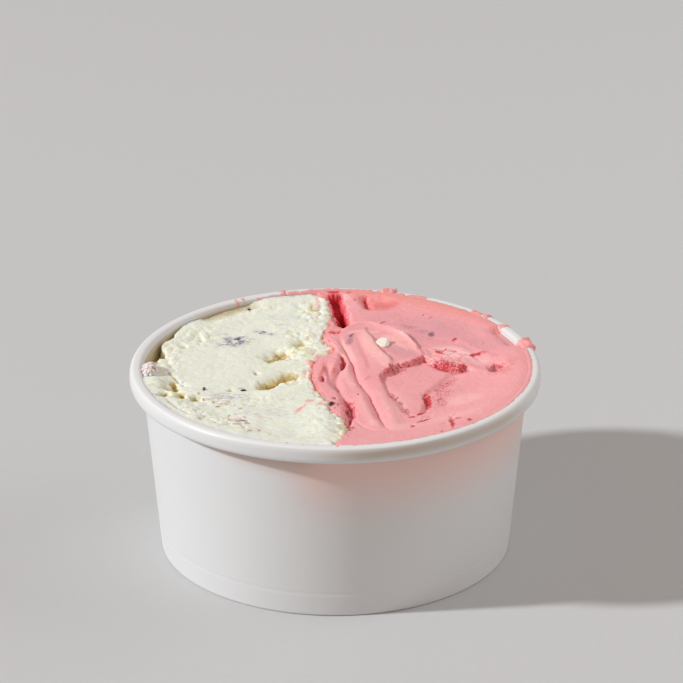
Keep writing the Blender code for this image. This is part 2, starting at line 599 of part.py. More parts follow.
def build_strawberry(material, parent):
    bm = fill_solid(1, strawberry_height, list(STRAWBERRY_TRENCHES.values()) + [brink(STRAWBERRY_DIP)],
                    [(FLAP, FLAP_EDGE), (PLATEAU, PLATEAU_EDGE), (REAR, REAR_EDGE), (BULGE, BULGE_EDGE)],
                    [WHITE_CHIP] + STRAWBERRY_SEEDS)
    add_object("strawberry_ice_cream", bm, material, parent)


def build_cream(material, parent):
    lip = (GAP_LIP, 0.0, -GAP_BANK[0], GAP_BANK[1] / BRINK, 2)
    trenches = list(CREAM_TRENCHES.values()) + [lip, brink(CREAM_DIP)]
    bm = fill_solid(-1, cream_height, trenches, [], CREAM_SEEDS)
    add_object("cream_ice_cream", bm, material, parent)


def build_berry(material, parent):
    """A flattened lump of small round beads, tilted up onto the rim."""
    bm = bmesh.new()
    bmesh.ops.create_icosphere(bm, subdivisions=3, radius=1.0)
    tilt = math.radians(BERRY_TILT)
    along, across, up = BEAD_WAVES
    for vert in bm.verts:
        x, y, z = vert.co
        beads = math.cos(along * x + BEAD_TURN) * math.cos(across * y) + BEAD_TURN * math.cos(up * z)
        size = 1.0 + BEAD_LIFT * beads
        u = x * size * BERRY_HALF[0]
        v = y * size * BERRY_HALF[1]
        w = z * size * BERRY_HALF[2]
        vert.co = (BERRY_MIDDLE[0] + u * math.cos(tilt) - w * math.sin(tilt),
                   BERRY_MIDDLE[1] + v,
                   BERRY_MIDDLE[2] + u * math.sin(tilt) + w * math.cos(tilt))
    add_object("berry_piece", bm, material, parent)


def main():
    clear_scene()
    tub = bpy.data.objects.new("tub_of_ice_cream", None)
    bpy.context.collection.objects.link(tub)
    paper = paint("white_coated_paper", (0.80, 0.79, 0.77), 0.45)
    build_tub_wall(paper, tub)
    build_tub_bottom(paper, tub)
    build_cream(paint("cream_ice_cream", (0.83, 0.80, 0.62), 0.55), tub)
    build_strawberry(paint("strawberry_ice_cream", (0.92, 0.42, 0.43), 0.5), tub)
    build_berry(paint("frosted_berry", (0.72, 0.55, 0.56), 0.6), tub)


main()
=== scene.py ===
"""The looks of a paper tub of two ice creams: crumbly cream on the left, smooth strawberry on the right.

Sizes are in millimetres until a mesh is made. The origin is on the table, on the tub's axis, +Z is up and
-Y is the front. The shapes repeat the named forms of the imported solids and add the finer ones: the grain of
the cream, the strokes of the spatula, smears on the rim, crumbs, frost and the tub's paper seam.

Marks of colour are given where they are seen: on a level plane at the height SEEN_LEVEL, looked at from the
camera. A point that lies higher than that plane is seen further back on it, and lay_on() undoes that.
"""
import math

import bmesh
import bpy
import numpy as np
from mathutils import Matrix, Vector, noise
from mathutils.geometry import delaunay_2d_cdt


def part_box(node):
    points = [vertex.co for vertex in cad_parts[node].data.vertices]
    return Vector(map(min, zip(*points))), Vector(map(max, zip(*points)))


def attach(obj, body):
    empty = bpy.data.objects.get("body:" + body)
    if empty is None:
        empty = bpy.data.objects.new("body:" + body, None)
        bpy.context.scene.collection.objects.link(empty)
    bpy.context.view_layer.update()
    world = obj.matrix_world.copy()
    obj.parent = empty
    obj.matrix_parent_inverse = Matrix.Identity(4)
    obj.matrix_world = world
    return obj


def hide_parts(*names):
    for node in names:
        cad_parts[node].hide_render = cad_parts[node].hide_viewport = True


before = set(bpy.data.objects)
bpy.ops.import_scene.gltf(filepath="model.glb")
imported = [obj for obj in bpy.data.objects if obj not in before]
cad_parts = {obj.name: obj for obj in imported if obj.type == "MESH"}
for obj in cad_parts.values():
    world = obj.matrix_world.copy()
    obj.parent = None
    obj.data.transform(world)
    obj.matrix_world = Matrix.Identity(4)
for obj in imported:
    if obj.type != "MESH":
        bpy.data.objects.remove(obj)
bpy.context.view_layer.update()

MM = 0.001                          # metres in a millimetre

# ---- the camera, fitted to the rim and the foot in the photograph ----
CAMERA_ELEVATION = 22.858           # degrees above the table
CAMERA_DISTANCE = 928.97
CAMERA_TARGET = (1.756, 0.0, 60.315)
CAMERA_LENS = 175.47                # on a sensor 36 wide
SEEN_LEVEL = 50.5                   # the level plane on which marks are given
# How far back one millimetre of height is seen.
SEEN_SHIFT = 1 / math.tan(math.radians(CAMERA_ELEVATION))

# ---- the tub ----
_, wall_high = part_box("tub_wall")
RIM_RADIUS = wall_high.x / MM       # outside of the rolled rim
TUB_HEIGHT = wall_high.z / MM       # table to the top of the rim
BASE_RADIUS = 49.5                  # outside of the wall at the table
WALL_SPREAD = 0.088                 # how much the wall's radius grows for each millimetre of height
PAPER = 0.6
ROLL_WIDTH = 3.8
ROLL_HEIGHT = 4.82
ROLL_START = 49.6                   # height where the wall starts to bend into the roll
ROLL_END_ANGLE = -125.0
HEM_HEIGHT = 4.7
DISC_TOP = 6.2
DISC_PAPER = 0.4
GAP = 0.3

# ---- the ice creams ----
FILL_RADIUS = 52.9
FINE_STEP = 0.27                    # spacing of the points over the surfaces
EDGE_STEP = 0.35                    # and along their edges
SNUG = 0.02                         # room between the ice cream and what it touches
CREAM_LEVEL = 51.0
STRAWBERRY_LEVEL = 50.4

# The line where the two ice creams meet, seen from above, from the back of the tub to its front.
SEAM = [
    (-8.6, 55.0), (-5.4, 53.4), (-2.9, 50.0), (-2.2, 46.0), (-1.6, 42.8), (-1.0, 39.0), (-1.6, 32.6),
    (-3.2, 24.3), (0.2, 15.5), (-5.0, 8.1), (-6.3, -1.6), (-5.2, -10.5), (-2.4, -19.0), (-1.0, -26.0),
    (1.6, -30.5), (3.2, -39.0), (1.2, -48.0), (1.0, -55.0)
]


# ---- shapes from a few numbers ----

def smoothstep(low, high, value):
    """Runs from 0 to 1 between two values, level at both ends."""
    t = np.clip((value - low) / (high - low), 0.0, 1.0)
    return t * t * (3.0 - 2.0 * t)


def smooth_line(points, step, closed=False):
    """A smooth curve through the points, with a point about every step."""
    p = np.array(points, dtype=float)
    if closed:
        p = np.vstack([p[-1], p, p[0], p[1]])
    else:
        p = np.vstack([2 * p[0] - p[1], p, 2 * p[-1] - p[-2]])
    line = []
    for a, b, c, d in zip(p, p[1:], p[2:], p[3:]):
        count = max(2, math.ceil(math.dist(b, c) / step))
        for t in np.arange(count) / count:
            bend = (2 * a - 5 * b + 4 * c - d) * t * t + (3 * b - a - 3 * c + d) * t ** 3
            line.append(0.5 * (2 * b + (c - a) * t + bend))
    line.append(p[-2])
    return np.array(line)


def from_line(x, y, line):
    """Distance to the left of a line, negative to its right, and how far along it, from 0 to 1."""
    best = np.full(x.shape, 1e9)
    side = np.ones(x.shape)
    along = np.zeros(x.shape)
    runs = np.linalg.norm(np.diff(line, axis=0), axis=1)
    starts = np.concatenate([[0.0], np.cumsum(runs)])
    for (ax, ay), (bx, by), run, start in zip(line, line[1:], runs, starts):
        ux, uy = (bx - ax) / run, (by - ay) / run
        t = np.clip((x - ax) * ux + (y - ay) * uy, 0.0, run)
        dx, dy = x - ax - t * ux, y - ay - t * uy
        distance = np.hypot(dx, dy)
        nearer = distance < best
        best = np.where(nearer, distance, best)
        side = np.where(nearer, np.sign(ux * (y - ay) - uy * (x - ax)), side)
        along = np.where(nearer, (start + t) / starts[-1], along)
    return best * np.where(side < 0, -1.0, 1.0), along


def inside(x, y, outline):
    """True where a point lies inside a closed outline."""
    odd = np.zeros(x.shape, dtype=bool)
    for (ax, ay), (bx, by) in zip(outline, np.roll(outline, -1, axis=0)):
        spans = (ay > y) != (by > y)
        if by != ay:
            odd ^= spans & (x < ax + (y - ay) * (bx - ax) / (by - ay))
    return odd


def lumps(points, size, seed, octaves=3):
    """Soft noise, about -1 to 1, whose coarsest lumps are size across."""
    shift = Vector((13.7, 5.1, 9.3)) * seed
    return np.array([noise.fractal(Vector(p) / size + shift, 1.0, 2.0, octaves) for p in points])


def grains(points, size, seed):
    """Rounded grains of about one size: high in the middle of each, 0 where they meet."""
    shift = Vector((3.9, 11.3, 7.7)) * seed
    near = np.array([noise.voronoi(Vector(p) / size + shift)[0][:2] for p in points])
    return np.clip(near[:, 1] - near[:, 0], 0.0, 1.0)


def domes(points, size, seed):
    """Rounded crumbs of about one size, side by side: 1 on top of each, 0 in the creases between them."""
    shift = Vector((3.9, 11.3, 7.7)) * seed
    nearest = np.array([noise.voronoi(Vector(p) / size + shift)[0][0] for p in points])
    return np.clip(1.0 - 1.6 * nearest ** 2, 0.0, 1.0)


def cos_sin(degrees):
    """The cosine and the sine of an angle in degrees."""
    return math.cos(math.radians(degrees)), math.sin(math.radians(degrees))


def round_axis(radius, angle, z):
    """Points at a radius, an angle round the tub's axis and a height."""
    return np.column_stack([radius * np.cos(angle), radius * np.sin(angle), z])


def flat(x, y):
    """Points of a plan as points in space."""
    return np.column_stack([x, y, np.zeros(len(x))])


def warped(x, y, size, reach, seed):
    """The plan pushed about by noise, so that what is drawn on it gets uneven edges."""
    points = flat(x, y)
    return (x + reach * lumps(points, size, seed), y + reach * lumps(points, size, seed + 0.37))


TRENCH_REACH = 3.2          # banks' widths from a trench's line within which it is worked out
TRENCH_ENDS = 0.2           # the share of its length over which each end fades
TRENCH_END_DEPTH = 0.15     # what is left of its depth at its very ends


def trench_depth(x, y, trench):
    """How deep a trench is at a point: full along its line, none past its banks, fading at its ends."""
    points, depth, left, right, form = trench
    line = smooth_line(points, 1.0)
    reach = TRENCH_REACH * max(left, right)
    low, high = line.min(axis=0) - reach, line.max(axis=0) + reach
    near = (x > low[0]) & (x < high[0]) & (y > low[1]) & (y < high[1])
    result = np.zeros(x.shape)
    if near.any():
        across, along = from_line(x[near], y[near], line)
        bank = np.where(across > 0, left, right)
        fade = smoothstep(0.0, TRENCH_ENDS, along) * smoothstep(0.0, TRENCH_ENDS, 1.0 - along)
        share = TRENCH_END_DEPTH + (1.0 - TRENCH_END_DEPTH) * fade
        result[near] = depth * np.exp(-(np.abs(across) / bank) ** form) * share
    return result


def cover(x, y, outline, edge):
    """1 inside an outline, 0 outside it, with a soft edge."""
    loop = smooth_line(outline, 1.0, closed=True)
    result = inside(x, y, loop[:-1]).astype(float)
    distance = np.abs(from_line(x, y, loop)[0])
    return smoothstep(-edge, edge, np.where(result > 0, distance, -distance))


def blot(x, y, mark, ragged):
    """A blot of colour: 1 in its middle, 0 past its half length and half width, with an uneven edge."""
    cx, cy, long, wide, turn, strength = mark
    c, s = cos_sin(turn)
    u = ((x - cx) * c + (y - cy) * s) / long
    v = ((y - cy) * c - (x - cx) * s) / wide
    return strength * (1.0 - smoothstep(0.3, 1.2, np.hypot(u, v) + ragged / max(1.0, wide)))


def lay_on(points, height):
    """Moves points from the level plane on which they are seen to where they lie on the surface."""
    p = np.array(points, dtype=float)
    y = p[:, 1] - SEEN_SHIFT
    for _ in range(24):
        y = 0.5 * y + 0.5 * (p[:, 1] - SEEN_SHIFT * (height(p[:, 0], y) - SEEN_LEVEL))
    return np.column_stack([p[:, 0], y])


# ---- the line between the ice creams ----

SEAM_END_Y = 53.9           # how far to the front and the back the line is used
BULGE_Y = -3.5              # the middle of the smooth bulge, whose edge is clean
BULGE_REACH = (9.0, 12.0)   # it ends between these distances from its middle
BULGE_CALM = 0.75
WANDER = ((0.9, 3.4, 1.0), (0.55, 1.1, 2.0))   # how far the line wanders, over what length, and the seed

SEAM_Y = np.arange(-55.0, 55.0, 0.1)
smooth_seam = smooth_line(SEAM, 0.5)[::-1]
seam_points = flat(SEAM_Y, 0.0 * SEAM_Y)
calm = 1.0 - BULGE_CALM * (1.0 - smoothstep(*BULGE_REACH, np.abs(SEAM_Y - BULGE_Y)))
SEAM_X = (np.interp(SEAM_Y, smooth_seam[:, 1], smooth_seam[:, 0])
          + calm * sum(far * lumps(seam_points, length, seed, 2) for far, length, seed in WANDER))


def seam_x(y):
    return np.interp(y, SEAM_Y, SEAM_X)


# Shallow dips along the wall: both ends in degrees from +X, over how many degrees each end fades, the depth
# at the wall, and the width.
CREAM_DIP = ((112.0, 142.0), 8.0, 1.2, 4.5)
STRAWBERRY_DIP = ((14.0, 32.0), 4.0, 1.7, 2.2)


def wall_dip(x, y, dip):
    """How deep a dip is: full at the wall in its middle, fading inwards and towards both its ends."""
    (low, high), fade, depth, width = dip
    turn = np.degrees(np.arctan2(y, x)) % 360.0
    ends = smoothstep(low, low + fade, turn) * (1.0 - smoothstep(high - fade, high, turn))
    return depth * ends * np.exp(-((FILL_RADIUS - np.hypot(x, y)) / width) ** 2)


# ---- the strawberry's surface ----
# trench: points along it, its depth (less than 0 for a ridge), the width of its left and its right bank as
# one walks along it, and the bank's form: 1 a sharp crease, 2 a rounded groove, 4 a steep slot.

STRAWBERRY_TRENCHES = {
    "back crevice":
        ([(-1.4, 59.0), (-0.6, 54.0), (0.5, 46.0), (1.4, 40.0), (1.9, 36.0), (2.2, 32.0)], 3.4, 1.9, 2.0, 3),
    "crevice's deep end": ([(0.8, 46.0), (1.9, 40.0), (2.5, 35.0), (2.6, 32.6)], 2.0, 1.3, 1.2, 3),
    "back hollow": ([(8.4, 51.5), (9.0, 47.0), (10.4, 43.0)], 2.0, 1.1, 1.3, 2),
    "back hollow floor": ([(13.4, 52.0), (12.8, 44.5)], 1.0, 2.8, 3.4, 3),
    "long crease":
        ([(0.8, 25.0), (2.4, 16.0), (4.6, 6.0), (6.3, -5.0), (9.2, -13.5), (10.6, -20.0), (13.0, -33.0),
          (15.0, -40.0)], 1.15, 0.6, 1.0, 1),
    "short crease": ([(1.4, 11.5), (2.4, 6.5), (2.0, 1.0)], 1.9, 0.7, 0.7, 2),
    "crease below": ([(2.2, 4.0), (1.0, -1.0), (0.3, -6.0), (1.9, -13.5)], 0.7, 1.0, 0.9, 2),
    "bulge groove": ([(-2.4, 5.0), (-1.8, -3.0), (-0.6, -9.0), (1.4, -14.5)], 0.9, 1.2, 0.9, 2),
    "seam crevice":
        ([(2.0, -14.5), (3.8, -20.0), (4.4, -26.0), (3.9, -31.0), (3.4, -36.0)], 1.6, 0.9, 1.6, 2),
    "torn edge": ([(27.0, 8.2), (30.0, 4.6), (33.0, 2.6), (36.0, 3.4)], 0.5, 1.0, 1.4, 2),
    "torn pit": ([(43.9, 4.6), (45.0, 1.6), (46.2, -1.2)], 1.6, 1.5, 1.5, 2),
    "torn cuts": ([(26.4, 12.6), (28.6, 10.2), (31.4, 9.2)], 0.6, 0.9, 0.5, 2),
    "torn cut": ([(33.0, 13.0), (37.0, 11.6), (41.0, 8.6)], 0.5, 0.5, 0.8, 2),
    "scoop edge":
        ([(36.0, 2.2), (32.7, -0.8), (29.2, -6.9), (25.7, -12.4), (24.0, -13.8)], 0.65, 3.2, 0.9, 2),
    "scoop streak":
        ([(24.0, -12.8), (25.3, -17.0), (25.0, -21.0), (24.4, -25.0), (22.8, -27.4)], 0.9, 0.9, 0.7, 2),
    "purple crease":
        ([(13.2, -7.0), (14.4, -11.5), (16.5, -18.4), (17.8, -22.4), (19.3, -27.1), (20.4, -29.8)], 0.3,
          1.2, 0.8, 2),
    "crease beside the seam": ([(4.8, -30.5), (8.0, -36.5), (12.0, -41.0)], 0.3, 0.6, 0.4, 2),
    "front crack": ([(31.2, -30.5), (31.7, -33.0), (31.1, -35.5), (31.5, -39.0)], 0.6, 0.3, 0.4, 2),
    "front crack branch": ([(31.5, -31.8), (33.2, -30.2)], 0.4, 0.3, 0.3, 2),
    "scoop tail": ([(26.6, -28.4), (24.6, -31.0), (22.6, -34.0)], 0.4, 0.6, 0.5, 2),
    "scoop tail end": ([(21.1, -35.4), (20.6, -37.0)], 0.5, 0.4, 0.4, 2),
    "edge crack": ([(30.4, -37.0), (28.2, -39.6)], 0.3, 0.4, 0.4, 2),
    "bulge pit": ([(-3.3, -3.6), (-3.6, -7.4)], 1.5, 0.6, 0.6, 2),
    "small pit": ([(-0.2, -17.4), (0.1, -18.4)], 1.1, 0.5, 0.5, 2),
    "gap behind the flap": ([(-1.4, 31.0), (2.5, 32.2), (6.0, 34.6)], 0.4, 1.4, 0.9, 2),
    "flap lip":
        ([(0.6, 26.0), (4.0, 30.5), (9.0, 32.4), (13.0, 30.1), (17.0, 27.0), (19.7, 23.6), (21.7, 18.8),
          (23.2, 14.4), (24.4, 10.4)], -0.5, 0.6, 0.9, 2),
    "blade's edge":
        ([(8.4, 28.0), (9.6, 22.7), (12.1, 13.5), (14.5, 8.1), (16.6, 4.2)], -0.55, 0.6, 3.2, 2),
    "blade's fold": ([(6.2, 24.5), (7.4, 15.0), (9.2, 6.0), (9.8, -1.5)], 0.25, 1.3, 0.8, 2),
    "blade's end": ([(7.2, -6.7), (9.4, -4.2), (12.6, -3.9)], -0.4, 0.45, 0.45, 2),
    "tongue's end": ([(2.5, -7.4), (4.7, -7.7), (6.4, -8.8)], -0.35, 0.45, 0.45, 2),
    "left tongue": ([(-1.6, 22.5), (0.6, 14.5), (2.8, 5.0), (4.0, -4.0)], -0.45, 1.3, 1.4, 2),
    "left rib": ([(6.4, -11.0), (7.8, -20.0), (10.2, -31.0), (12.6, -39.0)], -0.5, 1.5, 1.8, 2),
    "right rib": ([(11.6, -9.0), (13.8, -20.0), (15.4, -30.0), (16.6, -39.0)], -0.4, 1.8, 1.4, 2),
}

# The spatula fold: a flap lying over the surface, its tip towards the right.
FLAP = [
    (-5.0, 20.0), (0.5, 25.5), (4.0, 30.5), (9.0, 32.7), (13.0, 30.4), (17.0, 27.3), (20.0, 23.8),
    (22.0, 18.8), (23.6, 14.6), (25.0, 10.0), (21.5, 6.0), (17.0, 3.6), (14.5, 0.2), (12.6, -4.0),
    (13.8, -10.0), (16.0, -17.0), (18.0, -23.0), (19.8, -30.0), (18.0, -46.0), (-8.0, -46.0)
]
FLAP_EDGE = 0.5
FLAP_LIFT = 1.3
FLAP_TIP_GAIN = 0.035
FLAP_BACK_GAIN = 0.0175
FLAP_FADE = (-20.0, 4.0)
# Blots, as in blot(), where an edge is torn and jagged.
RAGGED = [
    (18.8, 4.0, 8.0, 3.0, 38.0, 1.0), (31.0, 3.6, 6.0, 2.6, -35.0, 0.8), (0.0, 44.0, 5.0, 14.0, 0.0, 1.0),
    (3.8, -25.0, 3.0, 11.0, 0.0, 0.7)
]

# Right of the blade the flap is scraped lower, down to its cliff.
RECESS = [
    (8.9, 28.4), (10.2, 22.7), (12.7, 13.5), (15.1, 8.1), (17.5, 2.0), (26.0, 4.0), (25.5, 11.0),
    (22.4, 17.0), (19.6, 22.4), (16.0, 26.2), (12.0, 29.0)
]
RECESS_DEPTH = 0.55
RECESS_EDGE = 0.7

# Behind and beside the flap the surface lies higher, first with a torn cliff, then with a soft step.
PLATEAU = [
    (-6.0, 31.0), (8.0, 27.0), (20.0, 17.0), (24.0, 11.0), (28.4, 5.8), (31.4, 3.0), (34.4, 1.6),
    (36.7, 3.0), (41.0, 1.0), (46.0, 4.0), (58.0, 8.4), (56.0, 56.0), (-6.0, 57.0)
]
PLATEAU_LIFT = 1.45
PLATEAU_EDGE = 0.6
PLATEAU_FADE = (34.5, 43.0)
REAR = [
    (16.0, 32.0), (28.2, 22.3), (33.6, 19.9), (38.0, 15.3), (41.3, 11.2), (44.3, 8.2), (49.9, 8.8),
    (58.0, 8.8), (56.0, 56.0), (16.0, 57.0)
]
REAR_LIFT = 0.4
REAR_GAIN = 0.9             # how much higher it is towards the right
REAR_EDGE = 1.1
REAR_GROWS = (22.0, 30.0)

WALL_SKIN = 1.6             # the ice cream left on the wall where a crevice runs up to it

# The shallow bowl: how much higher it is at the wall, how much more towards the back, from where to where it
# rises, as shares of the radius, and how late; and where what lies behind the flap gives way to it.
BOWL_RISE = 2.85
BOWL_BACK_GAIN = 0.3
BOWL_GAINS = (-40.0, 10.0)
BOWL_REACH = (0.62, 1.0)
BOWL_FORM = 1.5
PLATEAU_REACH = (0.72, 0.97)

# The bulge over the line between the ice creams.
BULGE = [
    (-0.3, 7.3), (-3.8, 5.6), (-7.5, 2.0), (-8.5, -5.0), (-7.0, -12.0), (-4.5, -18.0), (-2.5, -24.0),
    (-0.5, -29.0), (2.2, -29.5), (2.2, -22.0), (1.0, -15.0), (-0.6, -8.0), (-0.2, -1.0), (0.9, 4.5)
]
BULGE_LIFT = 0.7
BULGE_EDGE = 0.8

# Where the strawberry was torn or scraped, and its surface is broken: blots as in blot(), laid on a plan.
TORN = [
    (31.4, 5.6, 8.0, 2.4, -34.0, 1.0), (34.0, 10.4, 9.0, 4.2, -31.0, 0.8),
    (45.2, 1.8, 3.6, 2.8, 112.0, 0.9), (29.0, 13.6, 6.0, 2.6, -32.0, 0.5),
    (28.8, -9.5, 7.0, 1.9, 57.0, 0.4), (27.6, -19.0, 7.0, 2.2, 84.0, 0.45),
    (25.0, -19.5, 6.5, 1.2, 90.0, 0.9), (17.2, -20.4, 8.5, 1.5, 108.0, 0.5),
    (24.0, -31.5, 3.5, 1.6, 60.0, 0.7), (17.0, 0.5, 3.5, 2.0, 35.0, 0.5),
    (3.8, -27.0, 11.0, 2.0, 92.0, 0.7), (4.5, 53.0, 3.0, 2.5, 0.0, 0.7), (13.0, 48.0, 5.0, 4.0, 0.0, 0.3),
    (-4.6, 46.0, 6.0, 1.2, 100.0, 0.8), (23.0, 8.0, 4.5, 1.6, 40.0, 0.4),
    (18.5, 15.0, 8.0, 3.6, -62.0, 0.12)
]
STREAK_WIDTH = 0.85         # across the torn ice cream's grain; along it streaks are drawn out
STREAK_DRAW = 0.3


def torn_surface(x, y):
    """How torn the strawberry is, and where it has pits and raised strands along each torn place's grain."""
    torn, pits, strands = (np.zeros(x.shape) for _ in range(3))
    ragged = 0.25 * lumps(flat(x, y), 2.4, 11.0)
    for k, mark in enumerate(TORN):
        share = blot(x, y, mark, ragged)
        near = share > torn
        c, s = cos_sin(mark[4])
        grain = flat((x[near] * c + y[near] * s) * STREAK_DRAW, y[near] * c - x[near] * s)
        wave = lumps(grain, STREAK_WIDTH, 13.0 + k)
        torn[near] = share[near]
        pits[near] = share[near] * smoothstep(0.05, 0.45, -wave)
        strands[near] = share[near] * smoothstep(0.0, 0.4, wave)
    return torn, pits, strands


def strawberry_body(x, y):
    """The strawberry's large forms: a shallow bowl up to the rim, the flap and the bulge."""
    reach = np.hypot(x, y) / FILL_RADIUS
    rise = BOWL_RISE + BOWL_BACK_GAIN * smoothstep(*BOWL_GAINS, y)
    z = STRAWBERRY_LEVEL + rise * smoothstep(*BOWL_REACH, reach) ** BOWL_FORM
    lift = FLAP_LIFT + FLAP_TIP_GAIN * x + FLAP_BACK_GAIN * y
    on_flap = cover(x, y, FLAP, FLAP_EDGE)
    z = z + lift * smoothstep(*FLAP_FADE, y) * on_flap
    z = z - RECESS_DEPTH * cover(x, y, RECESS, RECESS_EDGE) * on_flap
    fade = smoothstep(*PLATEAU_FADE, x)
    rear = (REAR_LIFT * smoothstep(*REAR_GROWS, x) + REAR_GAIN * fade) * cover(x, y, REAR, REAR_EDGE)
    plateau = PLATEAU_LIFT * cover(x, y, PLATEAU, PLATEAU_EDGE) * (1.0 - fade) + rear
    z = z + plateau * (1.0 - smoothstep(*PLATEAU_REACH, reach)) * (1.0 - on_flap)
    return z + BULGE_LIFT * cover(x, y, BULGE, BULGE_EDGE)


def edge_drop(from_seam, drop, width):
    """How far an ice cream's edge is rounded down towards the line where the two meet."""
    return drop * (1.0 - smoothstep(0.0, width, np.clip(from_seam, 0.0, None))) ** 2


def strawberry_height(x, y):
    x, y = warped(x, y, size=2.6, reach=0.22, seed=3.0)
    jagged_x, jagged_y = warped(x, y, size=2.0, reach=1.1, seed=17.0)
    ragged = np.max([blot(x, y, place, 0.0) for place in RAGGED], axis=0)
    x, y = x + ragged * (jagged_x - x), y + ragged * (jagged_y - y)
    z = strawberry_body(x, y) - wall_dip(x, y, STRAWBERRY_DIP)
    off_wall = smoothstep(0.2, WALL_SKIN, FILL_RADIUS - np.hypot(x, y))
    for trench in STRAWBERRY_TRENCHES.values():
        z = z - trench_depth(x, y, trench) * off_wall
    return z - edge_drop(x - seam_x(y), drop=0.3, width=1.5)


# ---- the cream's surface ----

CREAM_TRENCHES = {
    "golden crack":
        ([(-22.0, -11.8), (-18.6, -10.8), (-15.3, -7.8), (-12.6, -4.6), (-8.8, 0.2)], 3.0, 4.2, 0.6, 2),
    "upper crack": ([(-18.8, 7.0), (-15.7, 10.4), (-12.7, 14.6)], 2.3, 3.4, 0.7, 2),
    "side crack": ([(-11.4, 18.4), (-7.6, 21.4)], 1.4, 2.4, 0.7, 2),
    "left hole": ([(-45.6, -7.0), (-44.7, -10.2), (-45.0, -13.0), (-47.6, -14.8)], 1.8, 1.5, 1.2, 2),
    "front hole": ([(-47.4, -18.2), (-46.4, -21.2)], 1.6, 1.7, 1.7, 2),
    "small hole": ([(-42.0, -13.4), (-42.6, -17.0), (-42.3, -20.8)], 1.8, 1.7, 1.5, 2),
    "third hole": ([(-38.8, -16.8), (-37.6, -20.6)], 1.2, 1.5, 1.2, 2),
    "left mound": ([(-49.6, -8.0), (-50.0, -15.0)], -0.7, 2.2, 2.2, 2),
    "middle mound": ([(-44.7, -16.6), (-44.5, -20.6)], -0.8, 1.3, 1.3, 2),
    "right mound": ([(-40.3, -14.6), (-40.0, -20.6)], -0.7, 1.2, 1.2, 2),
    "tiny hole": ([(-29.8, -11.6), (-28.4, -12.4)], 0.7, 0.9, 0.7, 2),
    "fine crack": ([(-47.6, 0.2), (-46.2, -2.4), (-43.6, -6.8), (-40.5, -10.8)], 0.6, 0.6, 0.4, 2),
    "front crack": ([(-46.4, -22.0), (-44.8, -24.6), (-41.3, -30.3), (-39.0, -33.0)], 0.6, 0.9, 0.6, 2),
    "low dent": ([(-37.8, -30.4), (-36.0, -31.4)], 0.7, 1.3, 0.8, 2),
    "lower dent": ([(-36.8, -35.2), (-35.0, -36.0)], 0.6, 1.3, 0.8, 2),
    "back dent": ([(-44.0, 17.0), (-42.0, 18.5)], 0.7, 2.2, 0.7, 2),
    "back dents": ([(-39.8, 21.6), (-37.3, 23.0)], 0.8, 2.4, 0.7, 2),
    "yellow dent": ([(-22.6, 0.6), (-21.2, -1.4)], 0.7, 0.9, 0.6, 2),
    "front shoulder": ([(-3.0, -20.0), (-4.0, -30.0), (-3.0, -38.0), (-4.0, -46.0)], -0.7, 3.5, 5.0, 2),
    "crack's front lip":
        ([(-23.0, -13.5), (-16.0, -14.0), (-11.0, -11.0), (-7.5, -5.5)], -0.5, 1.2, 3.5, 2),
}
# the cracks, holes and dents whose depth is painted as golden shade
PAINTED_GOLDEN_CRACKS = ["golden crack", "upper crack", "side crack", "left hole", "front hole", "small hole", "third hole",
          "tiny hole", "low dent", "lower dent", "back dent", "back dents", "yellow dent"]
# Where the cream is broken and crumbly rather than smoothed.
CRUMBLY = [
    (-12.0, 14.0, 9.5, 6.5, 25.0, 1.0), (-15.0, -6.5, 9.0, 4.5, 25.0, 0.9),
    (-43.5, -16.0, 7.0, 9.0, 60.0, 0.45), (-37.0, -31.0, 13.0, 5.0, -48.0, 0.6),
    (-46.5, 9.0, 4.5, 13.0, 0.0, 0.6), (-39.0, 24.0, 9.0, 7.0, 60.0, 0.6),
    (-26.0, -20.0, 16.0, 6.0, 5.0, 0.4), (-10.0, 27.0, 8.0, 6.0, 0.0, 0.8),
    (-22.0, 44.0, 14.0, 6.0, 12.0, 0.35), (-7.0, 42.0, 5.0, 9.0, 10.0, 0.9),
    (-5.0, -36.0, 7.0, 12.0, 0.0, 0.3), (-28.0, -37.0, 9.0, 5.0, -30.0, 0.6)
]
# The lip of the gap along the wall at the back left, from the back to the front.
GAP_LIP = [
    (-41.0, 35.5), (-43.8, 31.4), (-45.2, 28.3), (-45.7, 25.5), (-46.4, 23.0), (-47.6, 21.3), (-49.1, 18.2),
    (-49.0, 14.5), (-47.8, 11.4), (-48.2, 9.2), (-49.9, 8.2), (-50.4, 5.0), (-51.6, 1.0), (-53.5, -2.0)
]
GAP_DEPTH = 3.6
GAP_START = 46.0            # the gap is only further out than this
CALM_CREAM = 0.14           # how crumbly even the smoothed cream is
# How much higher the cream is along the wall, how much more at the front, where that ends, and from where to
# where it rises, as shares of the radius; how much higher the cream is at the back, and where it rises.
CREAM_BRIM = 0.9
CREAM_FRONT_GAIN = 1.3
CREAM_FRONT_END = (-12.0, 4.0)
CREAM_BRIM_REACH = (0.78, 1.0)
CREAM_BACK_GAIN = 1.2
CREAM_BACK_RISE = (15.0, 50.0)
CREAM_WARP = {"size": 3.0, "reach": 0.7, "seed": 7.0}


def crumbly(x, y):
    """How crumbly the cream is: 1 where it is broken up, little where a spatula smoothed it."""
    result = np.full(x.shape, CALM_CREAM)
    ragged = 0.25 * lumps(flat(x, y), 4.0, 5.0)
    for mark in CRUMBLY:
        result = np.maximum(result, blot(x, y, mark, ragged))
    near_seam = 1.0 - smoothstep(1.0, 4.5, seam_x(y) - x)
    return np.maximum(result, 0.7 * near_seam)


def wall_gap(x, y):
    """1 where the cream has come away from the wall at the back left, beyond the gap's lip."""
    beyond_lip = from_line(x, y, smooth_line(GAP_LIP, 0.8))[0]
    return smoothstep(-0.2, 0.9, -beyond_lip) * (np.hypot(x, y) > GAP_START)


